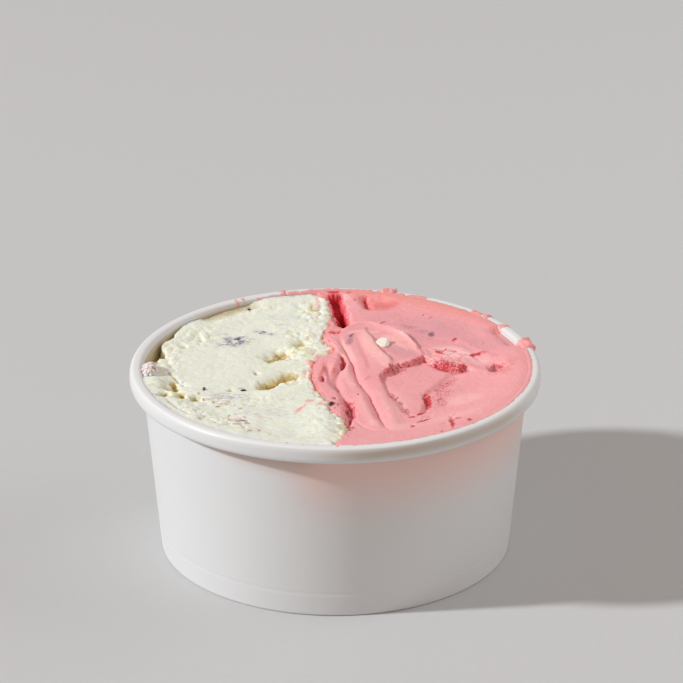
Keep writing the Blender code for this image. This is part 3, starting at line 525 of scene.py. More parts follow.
def cream_body(x, y):
    """The cream's large form: almost level, a little higher along the wall and at the back."""
    reach = np.hypot(x, y) / FILL_RADIUS
    brim = CREAM_BRIM + CREAM_FRONT_GAIN * (1.0 - smoothstep(*CREAM_FRONT_END, y))
    back = CREAM_BACK_GAIN * smoothstep(*CREAM_BACK_RISE, y)
    return CREAM_LEVEL + brim * smoothstep(*CREAM_BRIM_REACH, reach) + back


def cream_height(x, y):
    x, y = warped(x, y, **CREAM_WARP)
    z = cream_body(x, y) + 0.3 * lumps(flat(x, y), 11.0, 8.0, 2)
    for trench in CREAM_TRENCHES.values():
        z = z - trench_depth(x, y, trench)
    z = z - GAP_DEPTH * wall_gap(x, y)
    z = z - wall_dip(x, y, CREAM_DIP)
    return z - edge_drop(seam_x(y) - x, drop=0.45, width=1.8)


# ---- meshes ----

def add_piece(name, points, faces, material, masks=None, sharp_angle=None):
    """Makes a piece from points in millimetres, with its masks as named values at the points."""
    mesh = bpy.data.meshes.new(name)
    mesh.from_pydata((np.asarray(points) * MM).tolist(), [], [tuple(f) for f in faces])
    mesh.validate()
    for mask, values in (masks or {}).items():
        layer = mesh.attributes.new(mask, "FLOAT", "POINT")
        layer.data.foreach_set("value", np.asarray(values, dtype=np.float32))
    mesh.shade_smooth()
    if sharp_angle is not None:
        mesh.set_sharp_from_angle(angle=math.radians(sharp_angle))
    mesh.materials.append(material)
    piece = bpy.data.objects.new(name, mesh)
    bpy.context.scene.collection.objects.link(piece)
    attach(piece, "root")
    return piece


def mesh_edges(faces):
    """Each edge of the triangles once, as pairs of point numbers."""
    f = np.array(faces)
    pairs = np.sort(np.vstack([f[:, [0, 1]], f[:, [1, 2]], f[:, [2, 0]]]), axis=1)
    return np.unique(pairs, axis=0)


def relaxed(values, edges, rounds):
    """Values evened out over the mesh, to set a point's height against its surroundings."""
    a, b = edges.T
    count = len(values)
    shares = np.maximum(np.bincount(a, minlength=count) + np.bincount(b, minlength=count), 1)
    for _ in range(rounds):
        total = np.bincount(a, values[b], count) + np.bincount(b, values[a], count)
        values = 0.5 * values + 0.5 * total / shares
    return values


def point_normals(points, faces):
    """The way each point of a surface faces."""
    f = np.array(faces)
    a, b, c = (points[f[:, k]] for k in range(3))
    normals = np.cross(b - a, c - a)
    total = np.zeros(points.shape)
    for corner in range(3):
        for axis in range(3):
            total[:, axis] += np.bincount(f[:, corner], normals[:, axis], len(points))
    return total / np.maximum(np.linalg.norm(total, axis=1), 1e-9)[:, None]


# ---- the paper tub ----

def wall_radius(z, inwards=0.0):
    """Radius of the wall's outside at a height, or of a face further in."""
    return BASE_RADIUS + WALL_SPREAD * z - inwards


ROLL_FORM = 2.9             # 2 is an ellipse, more flattens the roll's top and its outer face


def roll_point(angle, inwards=0.0):
    """A point on the rolled rim's section: 180 degrees is at the wall, 90 the top, 0 the outside."""
    across = ROLL_WIDTH / 2
    high = ROLL_HEIGHT / 2
    c, s = cos_sin(angle)
    c = math.copysign(abs(c) ** (2 / ROLL_FORM), c)
    s = math.copysign(abs(s) ** (2 / ROLL_FORM), s)
    return (RIM_RADIUS - across + (across - inwards) * c, TUB_HEIGHT - high + (high - inwards) * s)


INNER_FACE = ([(wall_radius(z, PAPER), z) for z in (PAPER, DISC_TOP, 30.0, ROLL_START)]
              + [roll_point(a) for a in np.linspace(165.0, 92.0, 24)])


def inner_radius(z):
    """Radius of the tub's inner face at a height, up to the top of the roll."""
    radii, heights = np.array(INNER_FACE).T
    return np.interp(z, heights, radii)


HEM_LINE = 6.8              # height of the line pressed into the wall over the folded hem
HEM_LINE_WIDTH = 0.55
HEM_PRESS = 0.06
HEM_PROUD = 0.03            # the wall below that line stands out over the hem
SEAM_ANGLE = 98.0           # the side seam is at the back
SEAM_LAP = 7.0              # width of the overlap
SEAM_STEP = 0.32            # thickness of the overlapping paper's edge
OUT_OF_ROUND = 0.08
SHADE_UNDER_RIM_PEAK = 49.2            # the painted shade under the rim is strongest here
SHADE_BAND_HEIGHT = 51.7          # halfway up the roll's outer face, where its painted shade is darkest
SHADE_BAND_WIDTH = 1.5
CREST_HIGHLIGHT_HEIGHTS = (53.0, 53.45)       # the painted highlight on the top of the roll starts between these heights
OUTER_HEIGHTS = np.concatenate([np.linspace(0.35, 12.0, 40), np.linspace(13.0, ROLL_START, 26)])


def paper_profile():
    """The paper's section: outer face with the pressed hem, roll, inner face and folded hem."""
    skirt_out = PAPER + GAP
    hem_out = skirt_out + DISC_PAPER + GAP
    hem_in = hem_out + PAPER
    edge = PAPER / 2
    outer = []
    for z in OUTER_HEIGHTS:
        press = HEM_PRESS * math.exp(-((z - HEM_LINE) / HEM_LINE_WIDTH) ** 2)
        outer.append((wall_radius(z, press - HEM_PROUD * float(z < HEM_LINE)), z))
    roll_in = [roll_point(a, PAPER) for a in np.linspace(165.0, ROLL_END_ANGLE, 40)]
    roll_out = [roll_point(a) for a in np.linspace(ROLL_END_ANGLE, 165.0, 110)]
    inner = [(wall_radius(z, PAPER), z) for z in np.linspace(ROLL_START, PAPER, 24)]
    hem = [(wall_radius(z, hem_out), z) for z in np.linspace(PAPER, HEM_HEIGHT, 4)]
    hem += [(wall_radius(z, hem_in), z) for z in np.linspace(HEM_HEIGHT, PAPER, 4)]
    foot = [(wall_radius(0, hem_in - edge), 0.0), (wall_radius(0, edge + 0.3), 0.0)]
    foot.append((wall_radius(0, 0.2), 0.08))
    return outer + roll_in + roll_out + inner + hem + foot


def paper_masks(radius, turn, z, outer):
    """Where the paper takes colour: a film of cream inside, and painted light and shade on the roll and
    outside.

    The cream's film shows on the bare inside at the back left, its tan partly painted shade. Pink light
    from the strawberry is painted on the paper at the right. Painted shade under the rim and a painted
    stripe of shade halfway up the roll's outer face lie at the front. The top of the roll is painted
    lighter, a painted highlight.
    """
    inside_face = radius < inner_radius(z) + 0.3 * PAPER
    # a film of cream on the bare inside, its tan partly painted shade
    film = inside_face * smoothstep(45.0, 47.5, z) * (1.0 - smoothstep(51.8, 52.9, z))
    back_left = smoothstep(100.0, 118.0, turn) * (1.0 - smoothstep(176.0, 180.0, turn))
    # pink light from the strawberry, painted on the outside at the right
    right = smoothstep(-114.0, -92.0, turn) * (1.0 - smoothstep(50.0, 90.0, turn))
    glow = right * (0.7 * smoothstep(20.0, 42.0, z) + 0.3 * smoothstep(36.0, 48.0, z)) * outer
    # painted shade under the rim at the front left, reaching further down towards the front
    reach = 1.0 + 8.0 * smoothstep(-152.0, -98.0, turn)
    front_left = 1.0 - smoothstep(-103.0, -88.0, turn)
    shade = np.clip((z - SHADE_UNDER_RIM_PEAK + reach) / reach, 0.0, 1.0) * front_left * outer
    # a painted stripe of shade halfway up the roll's outer face, at the front
    halfway = (radius > RIM_RADIUS - ROLL_WIDTH / 2) * np.exp(-((z - SHADE_BAND_HEIGHT) / SHADE_BAND_WIDTH) ** 2)
    painted_band_shade = halfway * smoothstep(-102.0, -80.0, turn) * (1.0 - smoothstep(-40.0, -15.0, turn))
    # the top of the roll is painted lighter: a painted highlight
    painted_crest_highlight = (radius > RIM_RADIUS - ROLL_WIDTH) * smoothstep(*CREST_HIGHLIGHT_HEIGHTS, z)
    return {"cream_film_and_shade": film * back_left, "painted_pink_light": glow, "painted_shade_under_rim": shade, "painted_crest_highlight": painted_crest_highlight,
            "painted_band_shade": painted_band_shade}


def build_paper_wall(material):
    """The wall turned round the axis, a little out of round, with its side seam's edge standing out."""
    profile = np.array(paper_profile())
    lap = math.degrees(SEAM_LAP / RIM_RADIUS)
    turns = np.concatenate([np.linspace(0.0, 360.0, 320, endpoint=False),
                            [SEAM_ANGLE - 0.06, SEAM_ANGLE + 0.06, SEAM_ANGLE + lap]])
    turns = np.radians(np.unique(turns))
    rows = len(profile)
    radius, z = np.tile(profile[:, 0], len(turns)), np.tile(profile[:, 1], len(turns))
    angle = np.repeat(turns, rows)
    degrees = np.degrees(angle)
    levels_out = 1.0 - smoothstep(SEAM_ANGLE + 0.4 * lap, SEAM_ANGLE + 1.5 * lap, degrees)
    raised = (degrees > SEAM_ANGLE) * levels_out
    outer = np.tile(np.arange(rows) < len(OUTER_HEIGHTS), len(turns))
    outside = outer | (z > ROLL_START) & (radius > RIM_RADIUS - ROLL_WIDTH / 2)
    radius = radius + SEAM_STEP * raised * outside * (1.0 - 0.5 * (z > ROLL_START))
    points = round_axis(radius, angle, z)
    radius = radius + OUT_OF_ROUND * lumps(points, 40.0, 21.0, 2) * smoothstep(2.0, 10.0, z)
    points = round_axis(radius, angle, z)
    faces = []
    for i in range(len(turns)):
        j = (i + 1) % len(turns)
        for k in range(rows):
            m = (k + 1) % rows
            faces.append((i * rows + k, j * rows + k, j * rows + m, i * rows + m))
    turn = np.degrees(np.arctan2(points[:, 1], points[:, 0]))
    masks = paper_masks(radius, turn, z, outer)
    piece = add_piece("paper_wall", points, faces, material, masks, sharp_angle=50.0)
    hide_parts("tub_wall")


# ---- the ice creams as solids ----

SIDE_SHARES = (0.03, 0.08, 0.2, 1.0)   # how far down its side each of a solid's rings of points lies
EDGE_ROOM = 0.7             # the free room inside the edge, in steps of the grid


def edge_loop(side, height):
    """The edge of one ice cream seen from above: along the wall, then back along the seam."""
    front, back = (math.degrees(math.atan2(y, seam_x(y))) % 360.0 for y in (-SEAM_END_Y, SEAM_END_Y))
    start, stop = (front - 360.0, back) if side > 0 else (back, front)
    count = round(math.radians(stop - start) * FILL_RADIUS / EDGE_STEP)
    turns = np.radians(np.linspace(start, stop, count + 1))
    round_edge = np.column_stack([np.cos(turns), np.sin(turns)])
    z = height(*(inner_radius(STRAWBERRY_LEVEL) * round_edge.T))
    wall = round_edge * (inner_radius(z) - SNUG)[:, None]
    ys = np.linspace(wall[-1][1], wall[0][1], round(2 * FILL_RADIUS / EDGE_STEP))[1:-1]
    seam = np.column_stack([seam_x(ys) + side * SNUG, ys])
    return wall, seam


def inner_grid(side, loop, wall_count):
    """Points in offset rows, inside the edge of one ice cream."""
    rows = []
    reach = RIM_RADIUS
    for row, y in enumerate(np.arange(-reach, reach, FINE_STEP * math.sqrt(0.75))):
        xs = np.arange(-reach, reach, FINE_STEP) + (row % 2) * FINE_STEP / 2
        rows.append(np.column_stack([xs, np.full(xs.shape, y)]))
    grid = np.vstack(rows)
    grid = grid[side * (grid[:, 0] - seam_x(grid[:, 1])) > EDGE_ROOM * FINE_STEP]
    wall = loop[:wall_count]
    turns = np.unwrap(np.arctan2(wall[:, 1], wall[:, 0]))
    order = np.argsort(turns)
    turn = np.arctan2(grid[:, 1], grid[:, 0])
    turn = np.where(turn < turns.min() - 1e-9, turn + 2 * math.pi, turn)
    limit = np.interp(turn, turns[order], np.hypot(*wall.T)[order])
    return grid[np.hypot(*grid.T) < limit - EDGE_ROOM * FINE_STEP]


def filled(loop_points, inner_points):
    """Fills a plan with triangles, from its closed edge and the points inside it."""
    count = len(loop_points)
    plan = np.vstack([loop_points, inner_points])
    edges = [(i, (i + 1) % count) for i in range(count)]
    xy, _, faces, _, _, _ = delaunay_2d_cdt(plan.tolist(), edges, [], 1, 1e-7)
    return np.array([tuple(p) for p in xy]), faces


def fill_solid(side, height):
    """One ice cream's top surface, and the rings of its sides, down along the wall and the seam."""
    wall, seam = edge_loop(side, height)
    loop = np.vstack([wall, seam])
    count = len(loop)
    xy, top_faces = filled(loop, inner_grid(side, loop, len(wall)))
    top = np.column_stack([xy, height(xy[:, 0], xy[:, 1])])
    on_wall = np.arange(count) < len(wall)
    floor = DISC_TOP + GAP
    rings = []
    turn = np.arctan2(loop[:, 1], loop[:, 0])
    for share in SIDE_SHARES:
        z = top[:count, 2] * (1 - share) + floor * share
        limit = inner_radius(z) - SNUG
        radius = np.where(on_wall, limit, np.minimum(np.hypot(*loop.T), limit))
        rings.append(round_axis(radius, turn, z))
    return top, top_faces, rings, count


def close_solid(top, top_faces, rings, count):
    """Joins the top, the rings of its sides and its base into one closed body."""
    points = np.vstack([top] + rings)
    faces = [tuple(f) for f in top_faces]
    starts = [0] + [len(top) + k * count for k in range(len(rings))]
    for upper, lower in zip(starts, starts[1:]):
        for i in range(count):
            j = (i + 1) % count
            faces.append((upper + i, lower + i, lower + j, upper + j))
    _, base_faces = filled(rings[-1][:, :2], np.empty((0, 2)))
    faces += [tuple(starts[-1] + i for i in reversed(f)) for f in base_faces]
    return points, faces


def held(top, side, count):
    """How freely a surface may be roughened: not at all along its edge, fully a little further in."""
    x, y = top[:, 0], top[:, 1]
    room = np.minimum(inner_radius(top[:, 2]) - np.hypot(x, y), side * (x - seam_x(y)))
    return smoothstep(0.0, 0.9, room) * (np.arange(len(top)) >= count)


def padded_masks(masks, total):
    """Gives the points of the sides and the base a mask of 0."""
    return {name: np.concatenate([values, np.zeros(total - len(values))]) for name, values in masks.items()}


# ---- colour marks ----
# Each mark is a blot as in blot(): its middle where it is seen, its half length, its half width, its turn in
# degrees and its strength. First those on the strawberry.

STRAWBERRY_MARKS = {
    "stain": [
        (4.4, 27.6, 1.9, 0.8, 62.0, 1.3), (4.1, 24.0, 4.2, 1.4, 82.0, 0.6),
        (27.5, 28.8, 1.3, 1.9, 0.0, 1.1), (25.4, 30.6, 3.6, 2.0, -35.0, 0.4),
        (21.4, 34.1, 3.4, 1.6, -30.0, 0.4), (27.4, 25.6, 2.2, 1.0, 0.0, 0.25),
        (16.2, -16.5, 2.6, 0.9, -68.0, 0.6), (17.7, -20.5, 2.6, 1.1, -78.0, 0.7),
        (19.2, -25.5, 2.6, 1.0, -82.0, 0.5), (44.6, 5.2, 2.6, 1.4, 80.0, 0.7),
        (48.0, 13.6, 3.0, 1.6, -4.0, 0.2), (44.0, 13.6, 2.6, 1.4, -22.0, 0.3),
        (-1.4, 29.0, 2.6, 0.5, 90.0, 0.35)],
    "speckled": [
        (31.0, -6.6, 8.0, 2.4, 57.0, 0.7), (30.0, -13.0, 6.0, 4.0, 70.0, 0.6),
        (29.0, -19.5, 6.0, 3.0, 85.0, 0.6), (17.6, 1.8, 5.0, 2.4, 40.0, 0.75),
        (16.0, -16.0, 6.5, 1.9, -68.0, 0.7), (19.2, -25.5, 4.5, 1.9, -78.0, 0.65),
        (31.0, 7.2, 7.0, 3.2, -32.0, 0.9), (45.0, 5.0, 3.6, 3.4, 0.0, 0.9),
        (49.0, 6.0, 2.4, 1.8, 40.0, 0.5), (-4.0, -4.0, 6.0, 1.5, 98.0, 0.5),
        (4.2, -24.0, 11.0, 1.9, 94.0, 0.85), (13.0, 50.0, 5.0, 3.4, 0.0, 0.35),
        (30.0, 15.0, 4.0, 1.6, -32.0, 0.6), (41.0, 14.4, 4.4, 1.2, -12.0, 0.7),
        (26.0, 20.0, 6.0, 1.2, -62.0, 0.4), (4.4, -36.6, 2.4, 1.6, -50.0, 1.0)],
    "red": [
        (6.3, -15.0, 0.9, 0.4, 100.0, 1.0), (-3.5, -4.5, 1.6, 0.8, 95.0, 1.0),
        (-0.1, -16.8, 0.6, 0.5, 0.0, 1.0), (0.8, -21.0, 1.4, 0.6, 90.0, 0.8),
        (0.0, -23.4, 0.8, 0.4, 90.0, 0.7), (31.4, 17.5, 0.9, 0.5, 95.0, 0.9),
        (29.3, 15.6, 2.2, 0.9, -48.0, 0.8), (42.3, 22.7, 0.9, 0.4, 100.0, 0.6),
        (38.5, 21.0, 0.8, 0.4, 95.0, 0.6), (13.8, 37.6, 1.9, 0.5, 50.0, 0.9),
        (25.6, 43.2, 1.4, 0.5, 60.0, 0.8), (27.4, 41.0, 1.6, 0.5, 40.0, 0.5),
        (5.7, 55.0, 1.2, 0.6, 90.0, 0.6), (36.2, -31.0, 1.5, 0.9, 88.0, 0.9),
        (28.2, -39.4, 1.8, 0.7, 60.0, 0.9), (21.0, -35.6, 1.5, 0.7, 62.0, 1.2),
        (21.0, -1.2, 0.5, 0.3, 90.0, 0.6), (1.9, -44.0, 0.8, 0.5, 80.0, 0.7),
        (25.4, -18.6, 7.0, 1.6, -88.0, 1.1), (23.8, -26.8, 2.6, 1.1, 50.0, 1.2),
        (20.9, -29.6, 1.4, 0.8, 30.0, 1.0), (31.5, -33.5, 4.5, 0.8, 92.0, 1.1),
        (33.2, -30.0, 1.4, 0.6, 20.0, 0.9), (39.4, 13.4, 3.6, 0.9, 12.0, 1.1),
        (30.4, 5.6, 4.0, 1.4, -36.0, 0.9), (35.4, 5.0, 2.0, 1.8, 30.0, 0.8),
        (28.3, 6.2, 0.6, 0.5, 0.0, 1.1), (2.0, 8.0, 3.2, 0.8, 92.0, 0.9),
        (24.2, -31.6, 3.2, 1.0, 42.0, 1.0), (34.0, 24.6, 1.4, 0.9, 60.0, 0.9),
        (45.0, 4.6, 1.8, 1.4, 0.0, 0.9), (49.6, 7.2, 0.9, 0.5, 40.0, 0.7), (2.0, 29.0, 1.6, 1.2, 0.0, 0.3),
        (13.5, -40.2, 3.0, 0.4, -14.0, 0.5), (17.4, -41.6, 3.0, 0.4, -20.0, 0.4),
        (4.0, -38.2, 1.8, 0.6, -50.0, 0.8)],
    # a purplish pink tone, partly painted shade where faces turn from the lamp
    "mauve_and_painted_shade": [
        (26.0, 32.0, 19.0, 11.0, -28.0, 1.0), (15.0, 39.0, 9.0, 8.0, 0.0, 0.7),
        (17.6, 18.5, 11.0, 4.4, -62.0, 1.3), (40.0, 21.0, 11.0, 7.0, -15.0, 0.8),
        (4.5, 27.5, 9.0, 3.4, 80.0, 0.6), (20.0, 2.0, 8.0, 4.0, 20.0, 0.3),
        (-1.6, -3.0, 9.0, 1.6, 95.0, 0.5), (36.0, -8.0, 12.0, 9.0, 0.0, 0.2)],
    # painted red shade in the hollows and grooves
    "painted_red_shade": [
        (13.8, 51.0, 5.6, 4.4, 0.0, 1.0), (9.6, 53.0, 1.8, 3.6, 0.0, 0.9), (-5.0, 58.0, 2.4, 2.4, 0.0, 0.8),
        (-1.0, 30.0, 2.6, 1.4, 0.0, 0.6), (46.5, 2.6, 4.6, 3.0, 0.0, 0.6), (-3.4, 3.4, 3.4, 0.9, 80.0, 1.0),
        (-0.6, 3.0, 3.4, 0.9, 80.0, 0.9), (49.6, 9.8, 3.6, 2.4, 40.0, 0.4)],
    # painted light, lightening faces that the lamp leaves too dark
    "painted_light": [
        (10.8, 20.0, 13.0, 3.2, -78.0, 1.0), (14.4, 8.6, 4.0, 3.0, -60.0, 0.9),
        (3.6, 17.0, 11.0, 1.8, -74.0, 0.8), (17.6, 22.6, 9.0, 2.4, -50.0, 0.7),
        (12.4, 35.4, 8.0, 1.4, -20.0, 0.8), (18.0, -20.0, 4.0, 12.0, 0.0, 0.5),
        (16.3, 26.0, 5.0, 3.0, -40.0, 1.0), (8.5, 31.0, 6.0, 1.6, 10.0, 0.8),
        (1.5, 17.0, 6.0, 1.8, -80.0, 1.0), (4.0, -4.0, 7.0, 1.6, -80.0, 0.9),
        (35.0, -18.0, 7.0, 5.0, 30.0, 0.8), (18.0, -36.0, 9.0, 4.0, 5.0, 0.6),
        (33.0, -28.0, 12.0, 4.0, 25.0, 0.5), (34.0, 17.0, 5.0, 3.0, -32.0, 0.6)],
    # painted highlights on the pale folds, lips and lit edges
    "pale": [
        (34.0, 15.6, 8.0, 4.0, -32.0, 1.4), (40.4, 9.0, 5.0, 3.2, -10.0, 0.8),
        (8.6, 37.6, 4.0, 0.8, 0.0, 0.6), (19.0, 29.0, 5.0, 0.8, -45.0, 0.6),
        (3.4, 56.5, 3.0, 1.6, 100.0, 0.9), (5.0, 52.0, 4.5, 1.2, 80.0, 0.4),
        (20.0, 31.0, 3.0, 1.0, -40.0, 0.5), (10.5, 37.4, 4.0, 0.8, -15.0, 0.6),
        (28.5, -31.0, 12.0, 8.0, 0.0, 0.3), (11.0, -34.5, 4.0, 1.5, -55.0, 0.4),
        (39.0, 13.4, 2.2, 0.8, 0.0, 0.7)],
}

# Those on the cream.
CREAM_MARKS = {
    # painted olive shade where the cream overhangs the strawberry at the front
    "tan": [
        (1.8, -36.6, 3.2, 1.7, -60.0, 0.9), (-0.6, -40.2, 2.6, 1.3, -50.0, 0.6)],
    "grey": [
        (-29.0, 23.0, 7.0, 5.5, 20.0, 0.75), (-28.0, 24.6, 3.0, 1.5, 10.0, 1.0),
        (-20.6, 29.2, 4.6, 1.6, -28.0, 1.1), (-11.1, 30.0, 1.2, 0.9, 100.0, 1.1),
        (-15.0, 35.6, 2.6, 0.9, 0.0, 0.45), (-12.4, 57.5, 2.0, 1.6, 0.0, 0.5),
        (-30.0, -16.0, 8.0, 4.4, 5.0, 0.5), (-14.0, -17.0, 4.0, 2.0, 0.0, 0.35),
        (-18.0, -26.0, 11.0, 6.0, 0.0, 0.3), (-25.6, -10.4, 2.0, 1.3, 0.0, 0.9),
        (-25.6, -32.6, 2.4, 2.0, 30.0, 0.9), (-24.0, -34.0, 1.2, 0.8, 0.0, 1.0),
        (-33.0, 29.0, 3.0, 1.0, 0.0, 0.35), (-42.6, -5.2, 3.0, 0.5, -55.0, 0.5),
        (-3.2, 29.6, 1.6, 0.9, 90.0, 0.6), (-16.0, 41.0, 7.0, 3.0, 0.0, 0.3)],
    "rust": [
        (-36.2, -17.6, 0.6, 1.6, 20.0, 0.8), (-34.2, -18.0, 1.6, 0.5, 0.0, 0.7),
        (-33.4, -20.0, 0.5, 1.4, 25.0, 0.8), (-31.0, -20.8, 1.6, 0.5, 0.0, 0.7),
        (-25.0, -20.6, 1.2, 0.7, 0.0, 0.5), (-28.8, -31.5, 0.6, 2.4, 5.0, 0.6),
        (-27.0, -34.4, 1.8, 0.5, 10.0, 0.6), (-26.6, -30.4, 1.2, 0.5, 0.0, 0.4),
        (-22.9, -38.2, 0.6, 2.4, -20.0, 0.6), (-29.4, -13.0, 1.6, 0.6, 0.0, 0.3),
        (-32.0, -22.4, 0.9, 0.5, 40.0, 0.8), (-29.6, -19.0, 0.6, 0.9, 10.0, 0.6),
        (-27.4, -21.6, 1.0, 0.4, 0.0, 0.7), (-26.0, -24.0, 0.8, 0.5, 30.0, 0.6),
        (-23.0, -22.0, 1.2, 0.4, 0.0, 0.5), (-30.6, -24.6, 0.8, 0.4, 0.0, 0.6),
        (-28.8, -28.8, 1.4, 0.5, 80.0, 0.7), (-26.4, -27.6, 1.6, 0.4, 10.0, 0.6),
        (-24.6, -29.6, 0.5, 1.4, 20.0, 0.6), (-20.4, -38.2, 0.7, 2.0, 15.0, 0.7),
        (-33.6, 28.2, 1.4, 0.7, 0.0, 0.5), (-4.0, -15.5, 0.8, 2.6, 8.0, 0.7),
        (-37.6, -14.0, 0.8, 1.4, 0.0, 0.5), (-19.6, -36.8, 1.4, 0.5, 0.0, 0.4)],
    "rose": [
        (-7.0, -19.0, 2.2, 1.4, 30.0, 1.0), (-9.6, -24.5, 4.4, 1.0, 66.0, 0.9),
        (-26.5, -31.5, 2.2, 1.6, 0.0, 0.6), (-20.6, -38.6, 2.0, 1.6, 0.0, 0.5),
        (-7.8, -11.5, 0.8, 2.0, 0.0, 0.3), (-15.0, -45.4, 1.6, 0.7, 0.0, 0.5),
        (-5.0, -48.2, 5.0, 0.7, 0.0, 0.7), (-5.2, 51.5, 1.2, 5.0, 0.0, 0.7),
        (-2.4, 34.0, 1.6, 3.0, 20.0, 0.4), (-45.6, 32.0, 1.0, 2.0, -20.0, 0.5),
        (-17.5, 51.5, 0.5, 2.4, 5.0, 0.6), (-4.4, 12.0, 2.0, 3.5, 30.0, 0.9),
        (-6.6, 7.6, 1.8, 2.8, 30.0, 1.1), (-1.2, 16.8, 3.0, 1.4, 30.0, 1.0),
        (-8.6, 1.0, 1.0, 4.0, 0.0, 0.8), (-3.6, -20.5, 1.6, 3.0, -30.0, 0.7),
        (-11.0, -14.0, 0.8, 1.4, 0.0, 0.4)],
    "speck": [
        (-36.3, -10.0, 0.55, 0.8, 20.0, 1.0), (-25.3, -11.0, 0.5, 0.8, 20.0, 0.9),
        (-27.8, 24.4, 0.6, 1.0, 0.0, 0.8), (-25.8, -33.2, 0.5, 0.8, 0.0, 0.8),
        (-24.0, -34.0, 0.9, 0.5, 0.0, 0.8), (-25.1, 47.0, 0.4, 0.8, 0.0, 0.7),
        (-11.1, 30.0, 0.6, 0.4, 100.0, 0.5), (-3.2, 26.6, 1.2, 0.9, -60.0, 0.9),
        (-6.2, 27.4, 0.5, 1.2, 15.0, 0.4), (-20.8, 29.4, 1.6, 0.4, -25.0, 0.4),
        (-5.2, 56.5, 0.5, 1.8, 0.0, 0.6)],
}


def mark_masks(marks, points, body):
    """Each kind of mark as a mask over the points, laid on the large form of the surface."""
    x, y = points[:, 0], points[:, 1]
    ragged = 0.35 * lumps(points, 0.9, 31.0, 2) + 0.3 * lumps(points, 2.4, 32.0, 2)
    masks = {}
    for kind, blots in marks.items():
        places = lay_on([b[:2] for b in blots], body)
        mask = np.zeros(len(points))
        for place, b in zip(places, blots):
            mask = np.maximum(mask, blot(x, y, (*place, *b[2:]), ragged))
        masks[kind] = mask
    return masks


def rim_warmth(turn):
    """How warm the strawberry's thin layer over the white rim looks round the rim."""
    towards_back = 0.5 * smoothstep(-60.0, -10.0, turn) + 0.5 * smoothstep(20.0, 50.0, turn)
    return towards_back * (1.0 - 0.4 * smoothstep(80.0, 100.0, turn))


STEEP = (0.22, 0.5)         # how far from level a face is where it counts as steep: roughened, and given painted shade
PIT_DEPTH = 0.5
STRAND_HEIGHT = 0.22
CRUMB_COUNT = 110
CRUMB_SIZES = (0.25, 0.7)
CRUMB_SEED = 81
# A point's depth is taken against its surroundings, evened out in this many rounds: more for wider hollows.
# That depth sets where shade is painted into hollows, creases and small pits.
HOLLOW_ROUNDS = 70
CREASE_ROUNDS = 10
CREAM_HOLLOW_ROUNDS = 120
PORE_ROUNDS = 12
# The cream's relief: the height and the size of its crumbs and of the clods that they stick together in, and
# its fine grain, with its height where the cream is smooth, what is added where it is crumbly, and its size.
CREAM_CRUMBS = (0.85, 2.1)
CREAM_CLODS = (0.6, 4.6)
CREAM_GRAIN = (0.04, 0.26, 1.15)
DOME_MEAN = 0.6             # taken off a dome's height, so that crumbs stand out and leave pores alike


def build_strawberry(material):
    """The strawberry ice cream: its form, how torn it is, where its colours lie, and its loose crumbs."""
    top, top_faces, rings, count = fill_solid(1, strawberry_height)
    x, y = top[:, 0], top[:, 1]
    torn, pits, strands = torn_surface(x, y)
    normals = point_normals(top, top_faces)
    steep = smoothstep(*STEEP, 1.0 - normals[:, 2])
    rough = 0.06 * lumps(top, 1.4, 12.0) + 0.1 * lumps(top, 6.0, 14.0, 2) + STRAND_HEIGHT * strands
    rough = rough - PIT_DEPTH * pits + steep * 0.3 * lumps(top, 0.9, 15.0)
    top = top + normals * (rough * held(top, 1, count))[:, None]
    edges = mesh_edges(top_faces)
    masks = mark_masks(STRAWBERRY_MARKS, top, strawberry_body)
    # painted shade: deeper red where a point lies below its surroundings and in the back crevice
    masks["hollow"] = relaxed(top[:, 2], edges, HOLLOW_ROUNDS) - top[:, 2]
    masks["hollow"] += 0.5 * trench_depth(x, y, STRAWBERRY_TRENCHES["back crevice"])
    masks["hollow"] += 0.7 * trench_depth(x, y, STRAWBERRY_TRENCHES["crevice's deep end"])
    # painted shade in narrow creases
    masks["crease"] = relaxed(top[:, 2], edges, CREASE_ROUNDS) - top[:, 2]
    # the torn pits are painted darker red: painted shade
    masks["pits"], masks["strands"] = pits, strands
    # steep faces painted darker red: painted shade on cliffs
    masks["steep"] = relaxed(steep, edges, 2)
    # ridges painted lighter: a painted highlight
    ridges = [trench for trench in STRAWBERRY_TRENCHES.values() if trench[1] < 0]
    masks["ridge"] = sum(-trench_depth(x, y, ridge) for ridge in ridges)
    masks["edge"] = 1.0 - smoothstep(0.0, 1.3, x - seam_x(y))
    weight = 0.1 * torn ** 2 + masks["edge"] + 1e-5   # most crumbs lie along the line between the ice creams
    turn = np.degrees(np.arctan2(y, x))
    wide = 2.0 + 6.0 * smoothstep(25.0, 60.0, turn) + 1.5 * lumps(top, 9.0, 18.0, 2)
    masks["salmon"] = smoothstep(0.0, 1.0, (np.hypot(x, y) - FILL_RADIUS) / wide + 1.0) * rim_warmth(turn)
    long_crease = smooth_line(STRAWBERRY_TRENCHES["long crease"][0], 3.0)
    masks["across"] = np.abs(from_line(x, y, long_crease)[0])
    points, faces = close_solid(top, top_faces, rings, count)
    masks = padded_masks(masks, len(points))
    piece = add_piece("strawberry_fill", points, faces, material, masks)
    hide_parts("strawberry_ice_cream")
    build_crumbs("strawberry_crumbs", top, weight, material)


